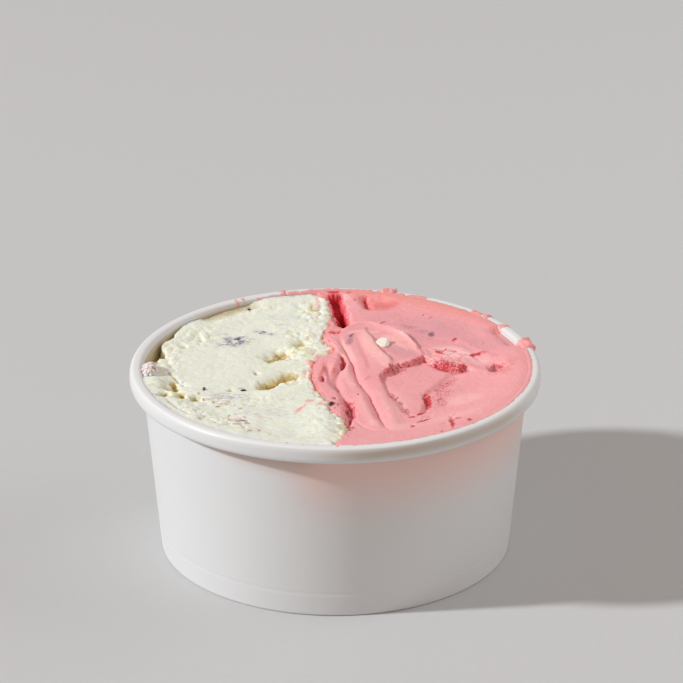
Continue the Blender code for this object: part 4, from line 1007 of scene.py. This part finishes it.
def build_cream(material):
    """The cream ice cream: its form, how crumbly it is and where its colours lie."""
    top, top_faces, rings, count = fill_solid(-1, cream_height)
    normals = point_normals(top, top_faces)
    x, y = top[:, 0], top[:, 1]
    loose = crumbly(x, y)
    high, size = CREAM_CRUMBS
    clod_high, clod_size = CREAM_CLODS
    smooth_high, loose_high, grain_size = CREAM_GRAIN
    rough = loose * (high * (domes(top, size, 41.0) - DOME_MEAN) + clod_high * lumps(top, clod_size, 42.0, 2))
    rough += (smooth_high + loose_high * loose) * (domes(top, grain_size, 43.0) - DOME_MEAN)
    rough += 0.03 * lumps(top, 2.0, 44.0)
    top = top + normals * (rough * held(top, -1, count))[:, None]
    edges = mesh_edges(top_faces)
    masks = mark_masks(CREAM_MARKS, top, cream_body)
    # painted shade in the small pits between crumbs
    masks["painted_pore_shade"] = relaxed(top[:, 2], edges, PORE_ROUNDS) - top[:, 2]
    # painted golden shade where a point lies below its wider surroundings
    masks["hollow"] = relaxed(top[:, 2], edges, CREAM_HOLLOW_ROUNDS) - top[:, 2]
    masks["crumbly"] = loose
    bent_x, bent_y = warped(x, y, **CREAM_WARP)
    # painted golden shade in the cracks, holes and dents, and in the gap along the wall
    masks["golden"] = sum(trench_depth(bent_x, bent_y, CREAM_TRENCHES[name]) for name in PAINTED_GOLDEN_CRACKS)
    masks["golden"] += 1.6 * wall_gap(bent_x, bent_y)
    # painted tan shade in the dip along the wall
    masks["tan"] = np.maximum(masks["tan"], wall_dip(bent_x, bent_y, CREAM_DIP) / CREAM_DIP[2])
    streaks = lumps(flat(0.4 * x, y), 0.9, 46.0)
    masks["grey"] *= np.clip(0.75 + 1.3 * streaks, 0.0, 1.3)
    masks["butter"] = loose * smoothstep(0.0, 0.6, lumps(top, 3.6, 45.0, 2))
    # painted tan shade along the line where the ice creams meet
    masks["painted_seam_shade"] = 1.0 - smoothstep(0.0, 2.4, seam_x(y) - x)
    masks["warm_seam"] = masks["painted_seam_shade"] * smoothstep(-18.0, -12.0, y) * (1.0 - smoothstep(13.0, 18.0, y))
    points, faces = close_solid(top, top_faces, rings, count)
    piece = add_piece("cream_fill", points, faces, material, padded_masks(masks, len(points)))
    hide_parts("cream_ice_cream")


# ---- small pieces ----

def ball(divisions):
    """The points and triangles of a ball of radius 1."""
    shape = bmesh.new()
    bmesh.ops.create_icosphere(shape, subdivisions=divisions, radius=1.0)
    shape.verts.index_update()
    points = np.array([tuple(v.co) for v in shape.verts])
    faces = np.array([[v.index for v in f.verts] for f in shape.faces])
    shape.free()
    return points, faces


def turned(points, degrees):
    """Points turned about the upright axis."""
    c, s = cos_sin(degrees)
    x, y, z = points.T
    return np.column_stack([x * c - y * s, x * s + y * c, z])


SEATED = 0.35               # how far a crumb's or a seed's middle lies above the surface, in half heights
CRUMB_UNEVEN = 0.45
SEED_UNEVEN = 0.12


def lump(middle, half, degrees, rough, seed, divisions):
    """An uneven lump with its middle, half sizes and turn."""
    points, faces = ball(divisions)
    points = points * (1.0 + rough * lumps(points, 1.1, seed, 2))[:, None]
    return turned(points * half, degrees) + middle, faces


def joined(parts):
    """Several bodies as one list of points and one of faces."""
    points = np.vstack([p for p, _ in parts])
    starts = np.cumsum([0] + [len(p) for p, _ in parts])
    return points, np.vstack([f + start for (_, f), start in zip(parts, starts)])


def build_crumbs(name, surface, weight, material):
    """Loose crumbs on a surface, most where the weight is high, sunk a little into it; most are small."""
    draws = np.random.default_rng(CRUMB_SEED)
    chosen = draws.choice(len(surface), CRUMB_COUNT, replace=False, p=weight / weight.sum())
    smallest, largest = CRUMB_SIZES
    parts = []
    for k, place in enumerate(surface[chosen]):
        size = smallest + (largest - smallest) * draws.random() ** 2.5
        half = size / 2 * np.array([1.0, draws.uniform(0.6, 1.0), draws.uniform(0.55, 0.9)])
        middle = place + (0.0, 0.0, SEATED * half[2])
        parts.append(lump(middle, half, draws.uniform(0, 360), CRUMB_UNEVEN, CRUMB_SEED + k, 1))
    points, faces = joined(parts)
    add_piece(name, points, faces, material)


# The chip and the seeds: place on the plan, half length, half width, turn, height.
WHITE_CHIP = (13.4, 17.6, 2.1, 1.75, 70.0, 1.6)
CHIP_FORM = 2.6             # 2 is an ellipsoid, more is boxier
CHIP_UNEVEN = 0.3
CHIP_TOP_FACE = (0.62, 0.45)     # the broken faces: where they cut the chip, and their slopes
CHIP_LEFT_FACE = (-0.85, 0.5)
CHIP_SEATED = 0.1
CREAM_SEEDS = [(-36.3, -12.2, 0.65, 0.4, 100.0, 0.4), (-25.4, -12.8, 0.8, 0.35, 10.0, 0.35),
               (-25.2, 43.2, 0.55, 0.4, 0.0, 0.35)]
STRAWBERRY_SEEDS = [(-1.0, -22.2, 1.1, 0.65, 60.0, 0.5)]


def build_chip(material):
    """The white chip with two flat broken faces, pressed into the flap."""
    x, y, long, wide, turn, height = WHITE_CHIP
    points, faces = ball(4)
    form = np.abs(points) ** CHIP_FORM
    points = points / (form.sum(axis=1) ** (1 / CHIP_FORM))[:, None]
    points = points * (1.0 + CHIP_UNEVEN * lumps(points, 0.9, 51.0, 2))[:, None]
    points[:, 2] = np.minimum(points[:, 2], CHIP_TOP_FACE[0] + CHIP_TOP_FACE[1] * points[:, 0])
    points[:, 0] = np.maximum(points[:, 0], CHIP_LEFT_FACE[0] + CHIP_LEFT_FACE[1] * points[:, 1])
    base = strawberry_height(np.array([x]), np.array([y]))[0]
    points = turned(points * (long, wide, height), turn) + (x, y, base + CHIP_SEATED * height)
    add_piece("white_chip", points, faces, material, sharp_angle=55.0)


def build_seeds(material):
    """The seeds, half sunk into both ice creams."""
    parts = []
    for height, seeds in ((cream_height, CREAM_SEEDS), (strawberry_height, STRAWBERRY_SEEDS)):
        for x, y, long, wide, turn, high in seeds:
            base = height(np.array([x]), np.array([y]))[0]
            parts.append(lump((x, y, base + SEATED * high), (long, wide, high), turn, SEED_UNEVEN, x, 3))
    points, faces = joined(parts)
    add_piece("seeds", points, faces, material)


BERRY_MIDDLE = (-52.1, -2.9, 52.5)
BERRY_HALF = (2.8, 4.8, 2.1)
BERRY_TILT = -18.0          # it leans outwards on the rim
BERRY_BEAD = 1.25
BEAD_SWELL = 0.2
BERRY_UNEVEN = 0.12
# Bare spots in the frost: their places from the berry's middle and how far they reach.
BERRY_SPOTS = {"juice": [(-1.9, -2.2, 0.9), (-1.6, 2.2, 0.8), (-2.0, 0.2, 0.7)],
               "ochre": [(1.6, -1.4, 0.9), (1.4, 1.2, 0.7)]}


def build_berry(material):
    """The berry piece: rows of beads, leaning on the rim."""
    points, faces = ball(5)
    beads = grains(points * BERRY_HALF, BERRY_BEAD, 61.0)
    swell = BEAD_SWELL * (np.sqrt(beads) - 0.75) + BERRY_UNEVEN * lumps(points, 1.3, 62.0, 2)
    shape = points * (1.0 + swell)[:, None] * BERRY_HALF
    c, s = cos_sin(BERRY_TILT)
    x, y, z = shape.T
    shape = np.column_stack([x * c + z * s, y, z * c - x * s]) + BERRY_MIDDLE
    out = np.hypot(shape[:, 0], shape[:, 1])
    shape[:, :2] *= np.minimum(1.0, (inner_radius(shape[:, 2]) - SNUG) / out)[:, None]
    masks = {"groove": 1.0 - beads * 1.6}
    for kind, places in BERRY_SPOTS.items():
        mask = np.zeros(len(points))
        for x, y, reach in places:
            near = np.hypot(shape[:, 0] - BERRY_MIDDLE[0] - x, shape[:, 1] - BERRY_MIDDLE[1] - y)
            mask = np.maximum(mask, 1.0 - smoothstep(0.4 * reach, 1.3 * reach, near))
        masks[kind] = mask
    piece = add_piece("frosted_berry", shape, faces, material, masks)
    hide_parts("berry_piece")


# Smears on the rim: where each starts and ends round the rim in degrees, where it starts on the inside of the
# roll and ends further out, in millimetres from the top of the roll, and how thick it is.
FILM_TURNS = (-85.0, 11.5)   # a thin even film
SMEARS = [
    (68.0, 101.0, -4.0, 0.2, 0.3), (71.0, 76.5, -4.0, 2.4, 0.8), (60.0, 68.0, -4.0, 0.5, 0.25),
    (44.5, 60.0, -4.0, -0.7, 0.2), (39.5, 44.5, -4.0, 1.0, 0.3), (36.8, 39.5, -4.0, 3.0, 0.5),
    (29.5, 36.8, -4.0, -0.5, 0.2), (28.0, 30.5, -4.0, 3.0, 0.3), (11.5, 17.8, -4.0, 3.8, 0.9),
    (17.6, 21.0, 1.6, 3.8, 0.4), (*FILM_TURNS, -4.0, -0.2, 0.16), (121.3, 122.6, -4.0, 0.65, 0.2),
    (119.0, 120.2, -4.0, 0.3, 0.15), (105.0, 115.5, -4.0, -1.0, 0.12), (105.0, 107.6, -4.0, 0.9, 0.4),
    (99.0, 105.0, -4.0, -1.1, 0.12), (101.0, 105.5, -4.0, 0.1, 0.2), (-89.4, -88.4, -3.0, 0.1, 0.3),
    (-85.2, -84.3, -3.0, 0.0, 0.25), (-99.3, -98.3, -1.0, -0.2, 0.2), (-105.0, -87.0, -3.0, -0.7, 0.2)
]
FILM_FILLET = 0.4           # the film thickens where the strawberry meets the paper
SMEAR_TURNS = (-104.0, 126.0)
SMEAR_STEP = 0.25
SMEAR_SINK = 0.12           # how far a smear's thin edge goes into the paper
SMEAR_ACROSS = (-3.6, 4.8)  # from the inside of the roll to its outside, from its top
SMEAR_UNDERSIDE = -0.3      # in the paper, out of sight
SMEAR_EDGE = -0.25          # a smear ends where it reaches no further than this


def roll_section():
    """Points of the roll's outside from the inner side over the top, with their distance from the top."""
    line = np.array([roll_point(a) for a in np.linspace(178.0, -40.0, 400)])
    runs = np.concatenate([[0.0], np.cumsum(np.linalg.norm(np.diff(line, axis=0), axis=1))])
    return line, runs - runs[np.argmin(np.abs(line[:, 0] - (RIM_RADIUS - ROLL_WIDTH / 2)))]


def thick_sheet(quads, total):
    """The faces of a sheet, of its underside, whose points are numbered from total on, and of its edge."""
    sides = np.vstack([quads[:, [k, (k + 1) % 4]] for k in range(4)])
    known = {tuple(side) for side in sides.tolist()}
    rims = np.array([side for side in known if side[::-1] not in known])
    edge = np.column_stack([rims[:, 1], rims[:, 0], rims[:, 0] + total, rims[:, 1] + total])
    return np.vstack([quads, quads[:, ::-1] + total, edge])


def build_smears(material):
    """Strawberry wiped onto the rim: thin where it was drawn out, in lumps where it stuck."""
    line, runs = roll_section()
    across = np.arange(*SMEAR_ACROSS, SMEAR_STEP)
    around = np.arange(SMEAR_TURNS[0], SMEAR_TURNS[1], math.degrees(SMEAR_STEP / RIM_RADIUS))
    turn, out = (v.ravel() for v in np.meshgrid(around, across, indexing="ij"))
    radius, z = np.interp(out, runs, line[:, 0]), np.interp(out, runs, line[:, 1])
    slope_r, slope_z = np.gradient(line[:, 0], runs), np.gradient(line[:, 1], runs)
    face_r, face_z = -np.interp(out, runs, slope_z), np.interp(out, runs, slope_r)
    angle = np.radians(turn)
    places = round_axis(radius, angle, z)
    ragged = 0.9 * lumps(places, 2.2, 71.0) + 0.45 * lumps(places, 0.8, 72.0)
    best = np.full(len(turn), -9.0)
    thick = np.zeros(len(turn))
    for start, end, inner, outer, thickness in SMEARS:
        side = np.minimum(turn - start, end - turn) * math.radians(1.0) * RIM_RADIUS
        reach = np.minimum(side, np.minimum(out - inner, outer - out))
        wins = reach > best
        best, thick = np.where(wins, reach, best), np.where(wins, thickness, thick)
    on_film = (turn > FILM_TURNS[0] + 1.0) & (turn < FILM_TURNS[1] - 1.0)
    best = best + ragged * np.where(on_film, 0.3, smoothstep(0.0, 0.25, thick))
    thick = thick * (0.4 + 0.6 * smoothstep(-1.6, 0.2, out)) * (1.0 + 0.7 * lumps(places, 1.3, 73.0, 2))
    lift = thick * smoothstep(0.0, 1.2, best)
    lift -= SMEAR_SINK * (1.0 - smoothstep(-0.3, 0.15, best))
    lift += FILM_FILLET * on_film * np.exp(-((out + 2.0) / 0.9) ** 2) * (best > 0.3)
    shells = []
    for height in (lift, np.full(len(lift), SMEAR_UNDERSIDE)):
        shells.append(round_axis(radius + face_r * height, angle, z + face_z * height))
    corner = np.arange(len(turn)).reshape(len(around), len(across))
    quads = np.stack([corner[:-1, :-1], corner[1:, :-1], corner[1:, 1:], corner[:-1, 1:]], axis=-1)
    quads = quads.reshape(-1, 4)
    quads = quads[best[quads].max(axis=1) > SMEAR_EDGE]
    total = len(turn)
    faces = thick_sheet(quads, total)
    used = np.unique(faces)
    renumber = np.zeros(2 * total, dtype=int)
    renumber[used] = np.arange(len(used))
    masks = {"thin": np.tile(1.0 - smoothstep(-0.02, 0.1, lift), 2)[used],
             "red": np.tile(0.35 * smoothstep(-0.1, 0.3, best) * (1.0 - smoothstep(0.5, 1.2, best)), 2)[used],
             "salmon": np.tile(rim_warmth(turn), 2)[used]}
    add_piece("rim_smears", np.vstack(shells)[used], renumber[faces], material, masks)


# ---- materials ----

def linear(hex_colour):
    """An sRGB hex colour as linear red, green, blue and full alpha."""
    values = [int(hex_colour[i:i + 2], 16) / 255 for i in (1, 3, 5)]
    return [v / 12.92 if v <= 0.04045 else ((v + 0.055) / 1.055) ** 2.4 for v in values] + [1.0]


def per_mm(size):
    """The texture scale that gives a pattern of this size in millimetres."""
    return 1.0 / (size * MM)


def add_node(tree, kind, output, values=None, links=None, **settings):
    """Adds a node with its settings, the numbers on its sockets and the links to them; gives its output."""
    made = tree.nodes.new(kind)
    for name, value in settings.items():
        setattr(made, name, value)
    for socket, value in (values or {}).items():
        made.inputs[socket].default_value = value
    for socket, source in (links or {}).items():
        tree.links.new(source, made.inputs[socket])
    return made.outputs[output]


def new_material(name, **values):
    """A Principled material with its constant sockets set, and the place on the object for its patterns."""
    material = bpy.data.materials.new(name)
    material.use_nodes = True
    tree = material.node_tree
    shader = tree.nodes["Principled BSDF"]
    for socket, value in values.items():
        shader.inputs[socket.replace("_", " ")].default_value = value
    return material, tree, shader, add_node(tree, "ShaderNodeTexCoord", "Object")


def layered(tree, colour, layers, grain=None):
    """Colours laid one over the other, each where its mask runs from low to high; the grain breaks it up."""
    for mask, low, high, hex_colour, broken in layers:
        value = add_node(tree, "ShaderNodeAttribute", "Fac", attribute_name=mask)
        if broken:
            limits = {"From Min": 0.3, "From Max": 0.7, "To Min": 1.0 - broken, "To Max": 1.0 + broken}
            spread = add_node(tree, "ShaderNodeMapRange", 0, limits, {"Value": grain})
            value = add_node(tree, "ShaderNodeMath", 0, {}, {0: value, 1: spread}, operation="MULTIPLY")
        share = add_node(tree, "ShaderNodeMapRange", 0, {"From Min": low, "From Max": high}, {"Value": value},
                         interpolation_type="SMOOTHSTEP")
        colour = add_node(tree, "ShaderNodeMix", 2, {7: linear(hex_colour)}, {0: share, 6: colour},
                          data_type="RGBA")
    return colour


def coated_paper():
    """Bleached paperboard, pressed and thinly coated: white, faintly warm, softly glossy, with a painted
    highlight along the top of the roll, and painted shade and pink light outside.

    Its fibres, 0.02 mm thick, are drawn as clumps of 0.9 mm, as coarse as they need to be to show.
    """
    material, tree, shader, place = new_material("coated_white_paperboard", Roughness=0.42, IOR=1.48)
    fibres = add_node(tree, "ShaderNodeTexNoise", "Fac",
                      {"Scale": per_mm(0.9), "Detail": 4.0, "Roughness": 0.6}, {"Vector": place})
    clouds = add_node(tree, "ShaderNodeTexNoise", "Fac", {"Scale": per_mm(14.0)}, {"Vector": place})
    base = add_node(tree, "ShaderNodeMix", 2, {6: linear("#D5D7D8"), 7: linear("#D9DADC")}, {0: clouds},
                    data_type="RGBA")
    colour = layered(tree, base, [
        ("painted_pink_light", 0.0, 1.3, "#E8C2B9", 0),     # pink light from the strawberry, painted on the paper
        ("painted_shade_under_rim", 0.0, 1.2, "#CBA898", 0),     # painted warm shade under the rim
        # painted shade halfway up the roll's outside, and a painted highlight on the top of the roll
        ("painted_band_shade", 0.0, 1.1, "#C5B9AF", 0), ("painted_crest_highlight", 0.0, 1.0, "#E7E8E9", 0),
        # the cream's film, its tan partly painted shade
        ("cream_film_and_shade", 0.0, 1.2, "#C9B88E", 0)])
    tree.links.new(colour, shader.inputs["Base Color"])
    relief = add_node(tree, "ShaderNodeBump", 0, {"Distance": 0.012 * MM}, {"Height": fibres})
    tree.links.new(relief, shader.inputs["Normal"])
    return material


def cream_ice():
    """Cream ice cream, frozen hard and broken by the scoop: matt, grainy, with golden painted shade in its
    cracks and small hollows.

    Its ice crystals, about 0.05 mm, are drawn as grain of 0.6 mm, as coarse as they need to be to show.
    """
    material, tree, shader, place = new_material("scooped_cream_ice_cream", Roughness=0.65, IOR=1.36,
                                                 Subsurface_Weight=0.85, Subsurface_Radius=(1.0, 0.85, 0.5),
                                                 Subsurface_Scale=1.8 * MM)
    grain = add_node(tree, "ShaderNodeTexNoise", "Fac",
                     {"Scale": per_mm(0.6), "Detail": 3.0, "Roughness": 0.6}, {"Vector": place})
    tone = add_node(tree, "ShaderNodeTexNoise", "Fac", {"Scale": per_mm(5.0), "Detail": 3.0},
                    {"Vector": place})
    base = add_node(tree, "ShaderNodeMix", 2, {6: linear("#E6E9DC"), 7: linear("#F2F6EA")}, {0: tone},
                    data_type="RGBA")
    fleck = add_node(tree, "ShaderNodeMapRange", 0, {"From Min": 0.35, "From Max": 0.7, "To Max": 0.3},
                     {"Value": grain})
    base = add_node(tree, "ShaderNodeMix", 2, {7: linear("#D6D5BE")}, {0: fleck, 6: base}, data_type="RGBA")
    colour = layered(tree, base, [
        ("crumbly", 0.2, 1.2, "#F0F2E6", 0),
        # painted golden shade in small pits, hollows and cracks
        ("painted_pore_shade", 0.02, 0.4, "#DDD7B0", 0.4), ("painted_pore_shade", 0.35, 1.0, "#CDBD80", 0.3),
        ("hollow", 0.12, 1.0, "#DACB90", 0.25), ("butter", 0.1, 1.2, "#E3DCB0", 0.3),
        ("golden", 0.3, 1.5, "#D6C486", 0.4), ("golden", 1.2, 2.6, "#B88E34", 0.35),
        # painted tan shade
        ("tan", 0.25, 1.1, "#C4B692", 0.2),
        # the first is painted tan shade along the seam
        ("painted_seam_shade", 0.2, 1.4, "#E2C9A6", 0.5), ("warm_seam", 0.35, 1.3, "#DE8F80", 0.5),
        ("grey", 0.0, 1.1, "#A69DAC", 0.45), ("grey", 0.75, 1.4, "#6E6078", 0.8),
        ("rust", 0.1, 1.0, "#B77A50", 0.8), ("rose", 0.1, 1.3, "#F09A94", 0.5),
        ("speck", 0.45, 0.9, "#33241C", 0),
    ], grain)
    tree.links.new(colour, shader.inputs["Base Color"])
    relief = add_node(tree, "ShaderNodeBump", 0, {"Distance": 0.06 * MM}, {"Height": grain})
    tree.links.new(relief, shader.inputs["Normal"])
    return material


STROKE_WIDTH = 1 / 1.3      # of the marks that the spatula's edge left, about 0.77 mm apart


def strawberry_ice():
    """Strawberry ice cream, spread soft with a spatula: smooth, with a faint moist sheen, deep red painted
    shade in its folds, and painted highlights on its ridges.

    Its ice crystals, about 0.05 mm, are drawn as grain of 0.55 mm, as coarse as they need to be to show.
    """
    material, tree, shader, place = new_material("spread_strawberry_ice_cream", Roughness=0.45, IOR=1.36,
                                                 Subsurface_Weight=0.4, Subsurface_Radius=(1.0, 0.35, 0.3),
                                                 Subsurface_Scale=1.4 * MM)
    grain = add_node(tree, "ShaderNodeTexNoise", "Fac",
                     {"Scale": per_mm(0.55), "Detail": 3.0, "Roughness": 0.6}, {"Vector": place})
    tone = add_node(tree, "ShaderNodeTexNoise", "Fac", {"Scale": per_mm(6.0), "Detail": 3.0},
                    {"Vector": place})
    base = add_node(tree, "ShaderNodeMix", 2, {6: linear("#F6A9AD"), 7: linear("#FBB6B9")}, {0: tone},
                    data_type="RGBA")
    fleck = add_node(tree, "ShaderNodeMapRange", 0, {"From Min": 0.35, "From Max": 0.7, "To Max": 0.45},
                     {"Value": grain})
    base = add_node(tree, "ShaderNodeMix", 2, {7: linear("#E98F97")}, {0: fleck, 6: base}, data_type="RGBA")
    across = add_node(tree, "ShaderNodeAttribute", "Fac", attribute_name="across")
    stroke_place = add_node(tree, "ShaderNodeCombineXYZ", 0, {}, {0: across})
    strokes = add_node(tree, "ShaderNodeTexNoise", "Fac", {"Scale": 1 / STROKE_WIDTH, "Detail": 4.0},
                       {"Vector": stroke_place})
    colour = layered(tree, base, [
        # purplish pink tone, partly painted shade
        ("salmon", 0.0, 1.1, "#F8A09D", 0), ("mauve_and_painted_shade", 0.0, 1.3, "#E3A0A7", 0.15),
        # painted highlights on pale folds and lips, and painted red shade in hollows
        ("pale", 0.0, 1.4, "#FFC8CA", 0.3), ("painted_red_shade", 0.0, 1.2, "#E57F80", 0.3),
        # painted highlights on ridges, and painted light on faces turned from the lamp
        ("ridge", 0.05, 0.8, "#FFBDBC", 0.15), ("painted_light", 0.0, 1.0, "#FFBCBA", 0.15),
        # painted shade in the torn pits
        ("strands", 0.1, 1.3, "#FFC9C8", 0.3), ("pits", 0.1, 0.9, "#D64E5B", 0.4),
        # painted shade in creases and hollows, deepest red in the deepest
        ("crease", 0.05, 0.5, "#E2747E", 0.3), ("hollow", 0.3, 1.1, "#DC5460", 0.3),
        # painted shade on steep faces
        ("steep", 0.25, 1.35, "#DC5864", 0.75), ("edge", 0.4, 1.5, "#E87B78", 0.8),
        ("hollow", 0.9, 2.2, "#CC2E3C", 0.2), ("hollow", 2.0, 4.5, "#B81426", 0),
        ("thin", 0.0, 1.3, "#F7D3D0", 0),
        ("speckled", 0.3, 1.2, "#C04250", 0.75), ("red", 0.2, 1.0, "#C4303A", 0.6),
        ("stain", 0.0, 1.3, "#815A72", 0.4),
    ], grain)
    tree.links.new(colour, shader.inputs["Base Color"])
    fine = add_node(tree, "ShaderNodeBump", 0, {"Distance": 0.05 * MM}, {"Height": grain})
    relief = add_node(tree, "ShaderNodeBump", 0, {"Distance": 0.06 * MM}, {"Height": strokes, "Normal": fine})
    tree.links.new(relief, shader.inputs["Normal"])
    return material


def white_chocolate():
    """White chocolate broken into a chip: smooth, ivory, faintly waxy."""
    material, tree, shader, place = new_material("broken_white_chocolate", Roughness=0.38, IOR=1.45,
                                                 Subsurface_Weight=0.3, Subsurface_Radius=(1.0, 0.9, 0.7),
                                                 Subsurface_Scale=0.8 * MM)
    clouds = add_node(tree, "ShaderNodeTexNoise", "Fac", {"Scale": per_mm(0.8)}, {"Vector": place})
    colour = add_node(tree, "ShaderNodeMix", 2, {6: linear("#EFE6DA"), 7: linear("#FBF8F1")}, {0: clouds},
                      data_type="RGBA")
    tree.links.new(colour, shader.inputs["Base Color"])
    return material


def fruit_seed():
    """Small fruit seeds, hard and dark, wet with juice: nearly black brown with a clear highlight."""
    material, tree, shader, place = new_material("wet_fruit_seed", Roughness=0.3, IOR=1.5)
    pits = add_node(tree, "ShaderNodeTexNoise", "Fac", {"Scale": per_mm(0.3)}, {"Vector": place})
    colour = add_node(tree, "ShaderNodeMix", 2, {6: linear("#1E1512"), 7: linear("#4A3428")}, {0: pits},
                      data_type="RGBA")
    tree.links.new(colour, shader.inputs["Base Color"])
    relief = add_node(tree, "ShaderNodeBump", 0, {"Distance": 0.04 * MM}, {"Height": pits})
    tree.links.new(relief, shader.inputs["Normal"])
    return material


def frosted_berry():
    """A frozen berry under hoar frost: matt white beads, with the dark red skin showing in the grooves."""
    material, tree, shader, place = new_material("frosted_berry", Roughness=0.7, IOR=1.38,
                                                 Subsurface_Weight=0.3, Subsurface_Radius=(1.0, 0.7, 0.7),
                                                 Subsurface_Scale=0.8 * MM)
    frost = add_node(tree, "ShaderNodeTexNoise", "Fac",
                     {"Scale": per_mm(0.35), "Detail": 4.0, "Roughness": 0.7}, {"Vector": place})
    base = add_node(tree, "ShaderNodeMix", 2, {6: linear("#E6E0DE"), 7: linear("#F6F3EF")}, {0: frost},
                    data_type="RGBA")
    colour = layered(tree, base, [
        ("groove", 0.55, 1.15, "#CDB2B4", 0.5), ("groove", 0.9, 1.3, "#A87480", 0.4),
        ("juice", 0.3, 1.1, "#8E4654", 0.8), ("ochre", 0.3, 1.1, "#A9764E", 0.8)], frost)
    tree.links.new(colour, shader.inputs["Base Color"])
    relief = add_node(tree, "ShaderNodeBump", 0, {"Distance": 0.08 * MM}, {"Height": frost})
    tree.links.new(relief, shader.inputs["Normal"])
    return material


# ---- floor, light and camera ----
FLOOR_HALF = 2500.0
# Each lamp: the way from the tub to it, its distance and width, its light on a face turned to it, its colour.
LAMPS = {
    "key": ((-0.834, -0.155, 0.530), 5000.0, 350.0, 0.87, (0.98, 1.0, 1.01)),
    "side": ((0.85, 0.15, 0.50), 1400.0, 1200.0, 0.30, (0.95, 1.0, 1.02)),
    "front": ((0.30, -0.92, 0.22), 1600.0, 1200.0, 0.06, (1.0, 0.62, 0.42)),
}
AROUND_STRENGTH = 0.39
AROUND_COLOUR = (1.0, 0.88, 0.80, 1.0)


def build_floor():
    """A plain pale floor of honed stone: even, with the slightest grain."""
    material, tree, shader, place = new_material("honed_pale_stone", Roughness=0.7)
    grain = add_node(tree, "ShaderNodeTexNoise", "Fac",
                     {"Scale": per_mm(2.5), "Detail": 4.0, "Roughness": 0.7}, {"Vector": place})
    base = add_node(tree, "ShaderNodeMix", 2, {6: linear("#C6C7C8"), 7: linear("#CBCCCD")}, {0: grain},
                    data_type="RGBA")
    tree.links.new(base, shader.inputs["Base Color"])
    h = FLOOR_HALF * MM
    mesh = bpy.data.meshes.new("floor")
    mesh.from_pydata([(-h, -h, 0), (h, -h, 0), (h, h, 0), (-h, h, 0)], [], [(0, 1, 2, 3)])
    mesh.materials.append(material)
    floor = bpy.data.objects.new("floor", mesh)
    bpy.context.scene.collection.objects.link(floor)


def build_light():
    """A small lamp from the left, weaker wide ones from the right and the front, and warm light all round."""
    for name, (towards, distance, width, light, colour) in LAMPS.items():
        data = bpy.data.lights.new(name, "AREA")
        data.shape = "DISK"
        data.size = width * MM
        data.energy = light * math.pi ** 2 * (distance * MM) ** 2
        data.color = colour
        lamp = bpy.data.objects.new(name, data)
        way = Vector(towards).normalized()
        lamp.location = way * distance * MM
        lamp.rotation_euler = way.to_track_quat("Z", "Y").to_euler()
        bpy.context.scene.collection.objects.link(lamp)
    world = bpy.data.worlds.new("studio")
    world.use_nodes = True
    around = world.node_tree.nodes["Background"]
    around.inputs["Color"].default_value = AROUND_COLOUR
    around.inputs["Strength"].default_value = AROUND_STRENGTH
    bpy.context.scene.world = world


def build_camera():
    data = bpy.data.cameras.new("camera")
    data.lens = CAMERA_LENS
    data.sensor_width = 36.0
    data.clip_start, data.clip_end = 0.01, 20.0
    camera = bpy.data.objects.new("camera", data)
    tilt = math.radians(CAMERA_ELEVATION)
    back = Vector((0.0, -math.cos(tilt), math.sin(tilt)))
    camera.location = (Vector(CAMERA_TARGET) + back * CAMERA_DISTANCE) * MM
    camera.rotation_euler = back.to_track_quat("Z", "Y").to_euler()
    bpy.context.scene.collection.objects.link(camera)
    bpy.context.scene.camera = camera


paper = coated_paper()
build_paper_wall(paper)
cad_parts["tub_bottom"].data.materials.clear()
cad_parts["tub_bottom"].data.materials.append(paper)
build_cream(cream_ice())
strawberry = strawberry_ice()
build_strawberry(strawberry)
build_smears(strawberry)
build_chip(white_chocolate())
build_seeds(fruit_seed())
build_berry(frosted_berry())
build_floor()
build_light()
build_camera()
bpy.context.scene.view_settings.view_transform = "Standard"
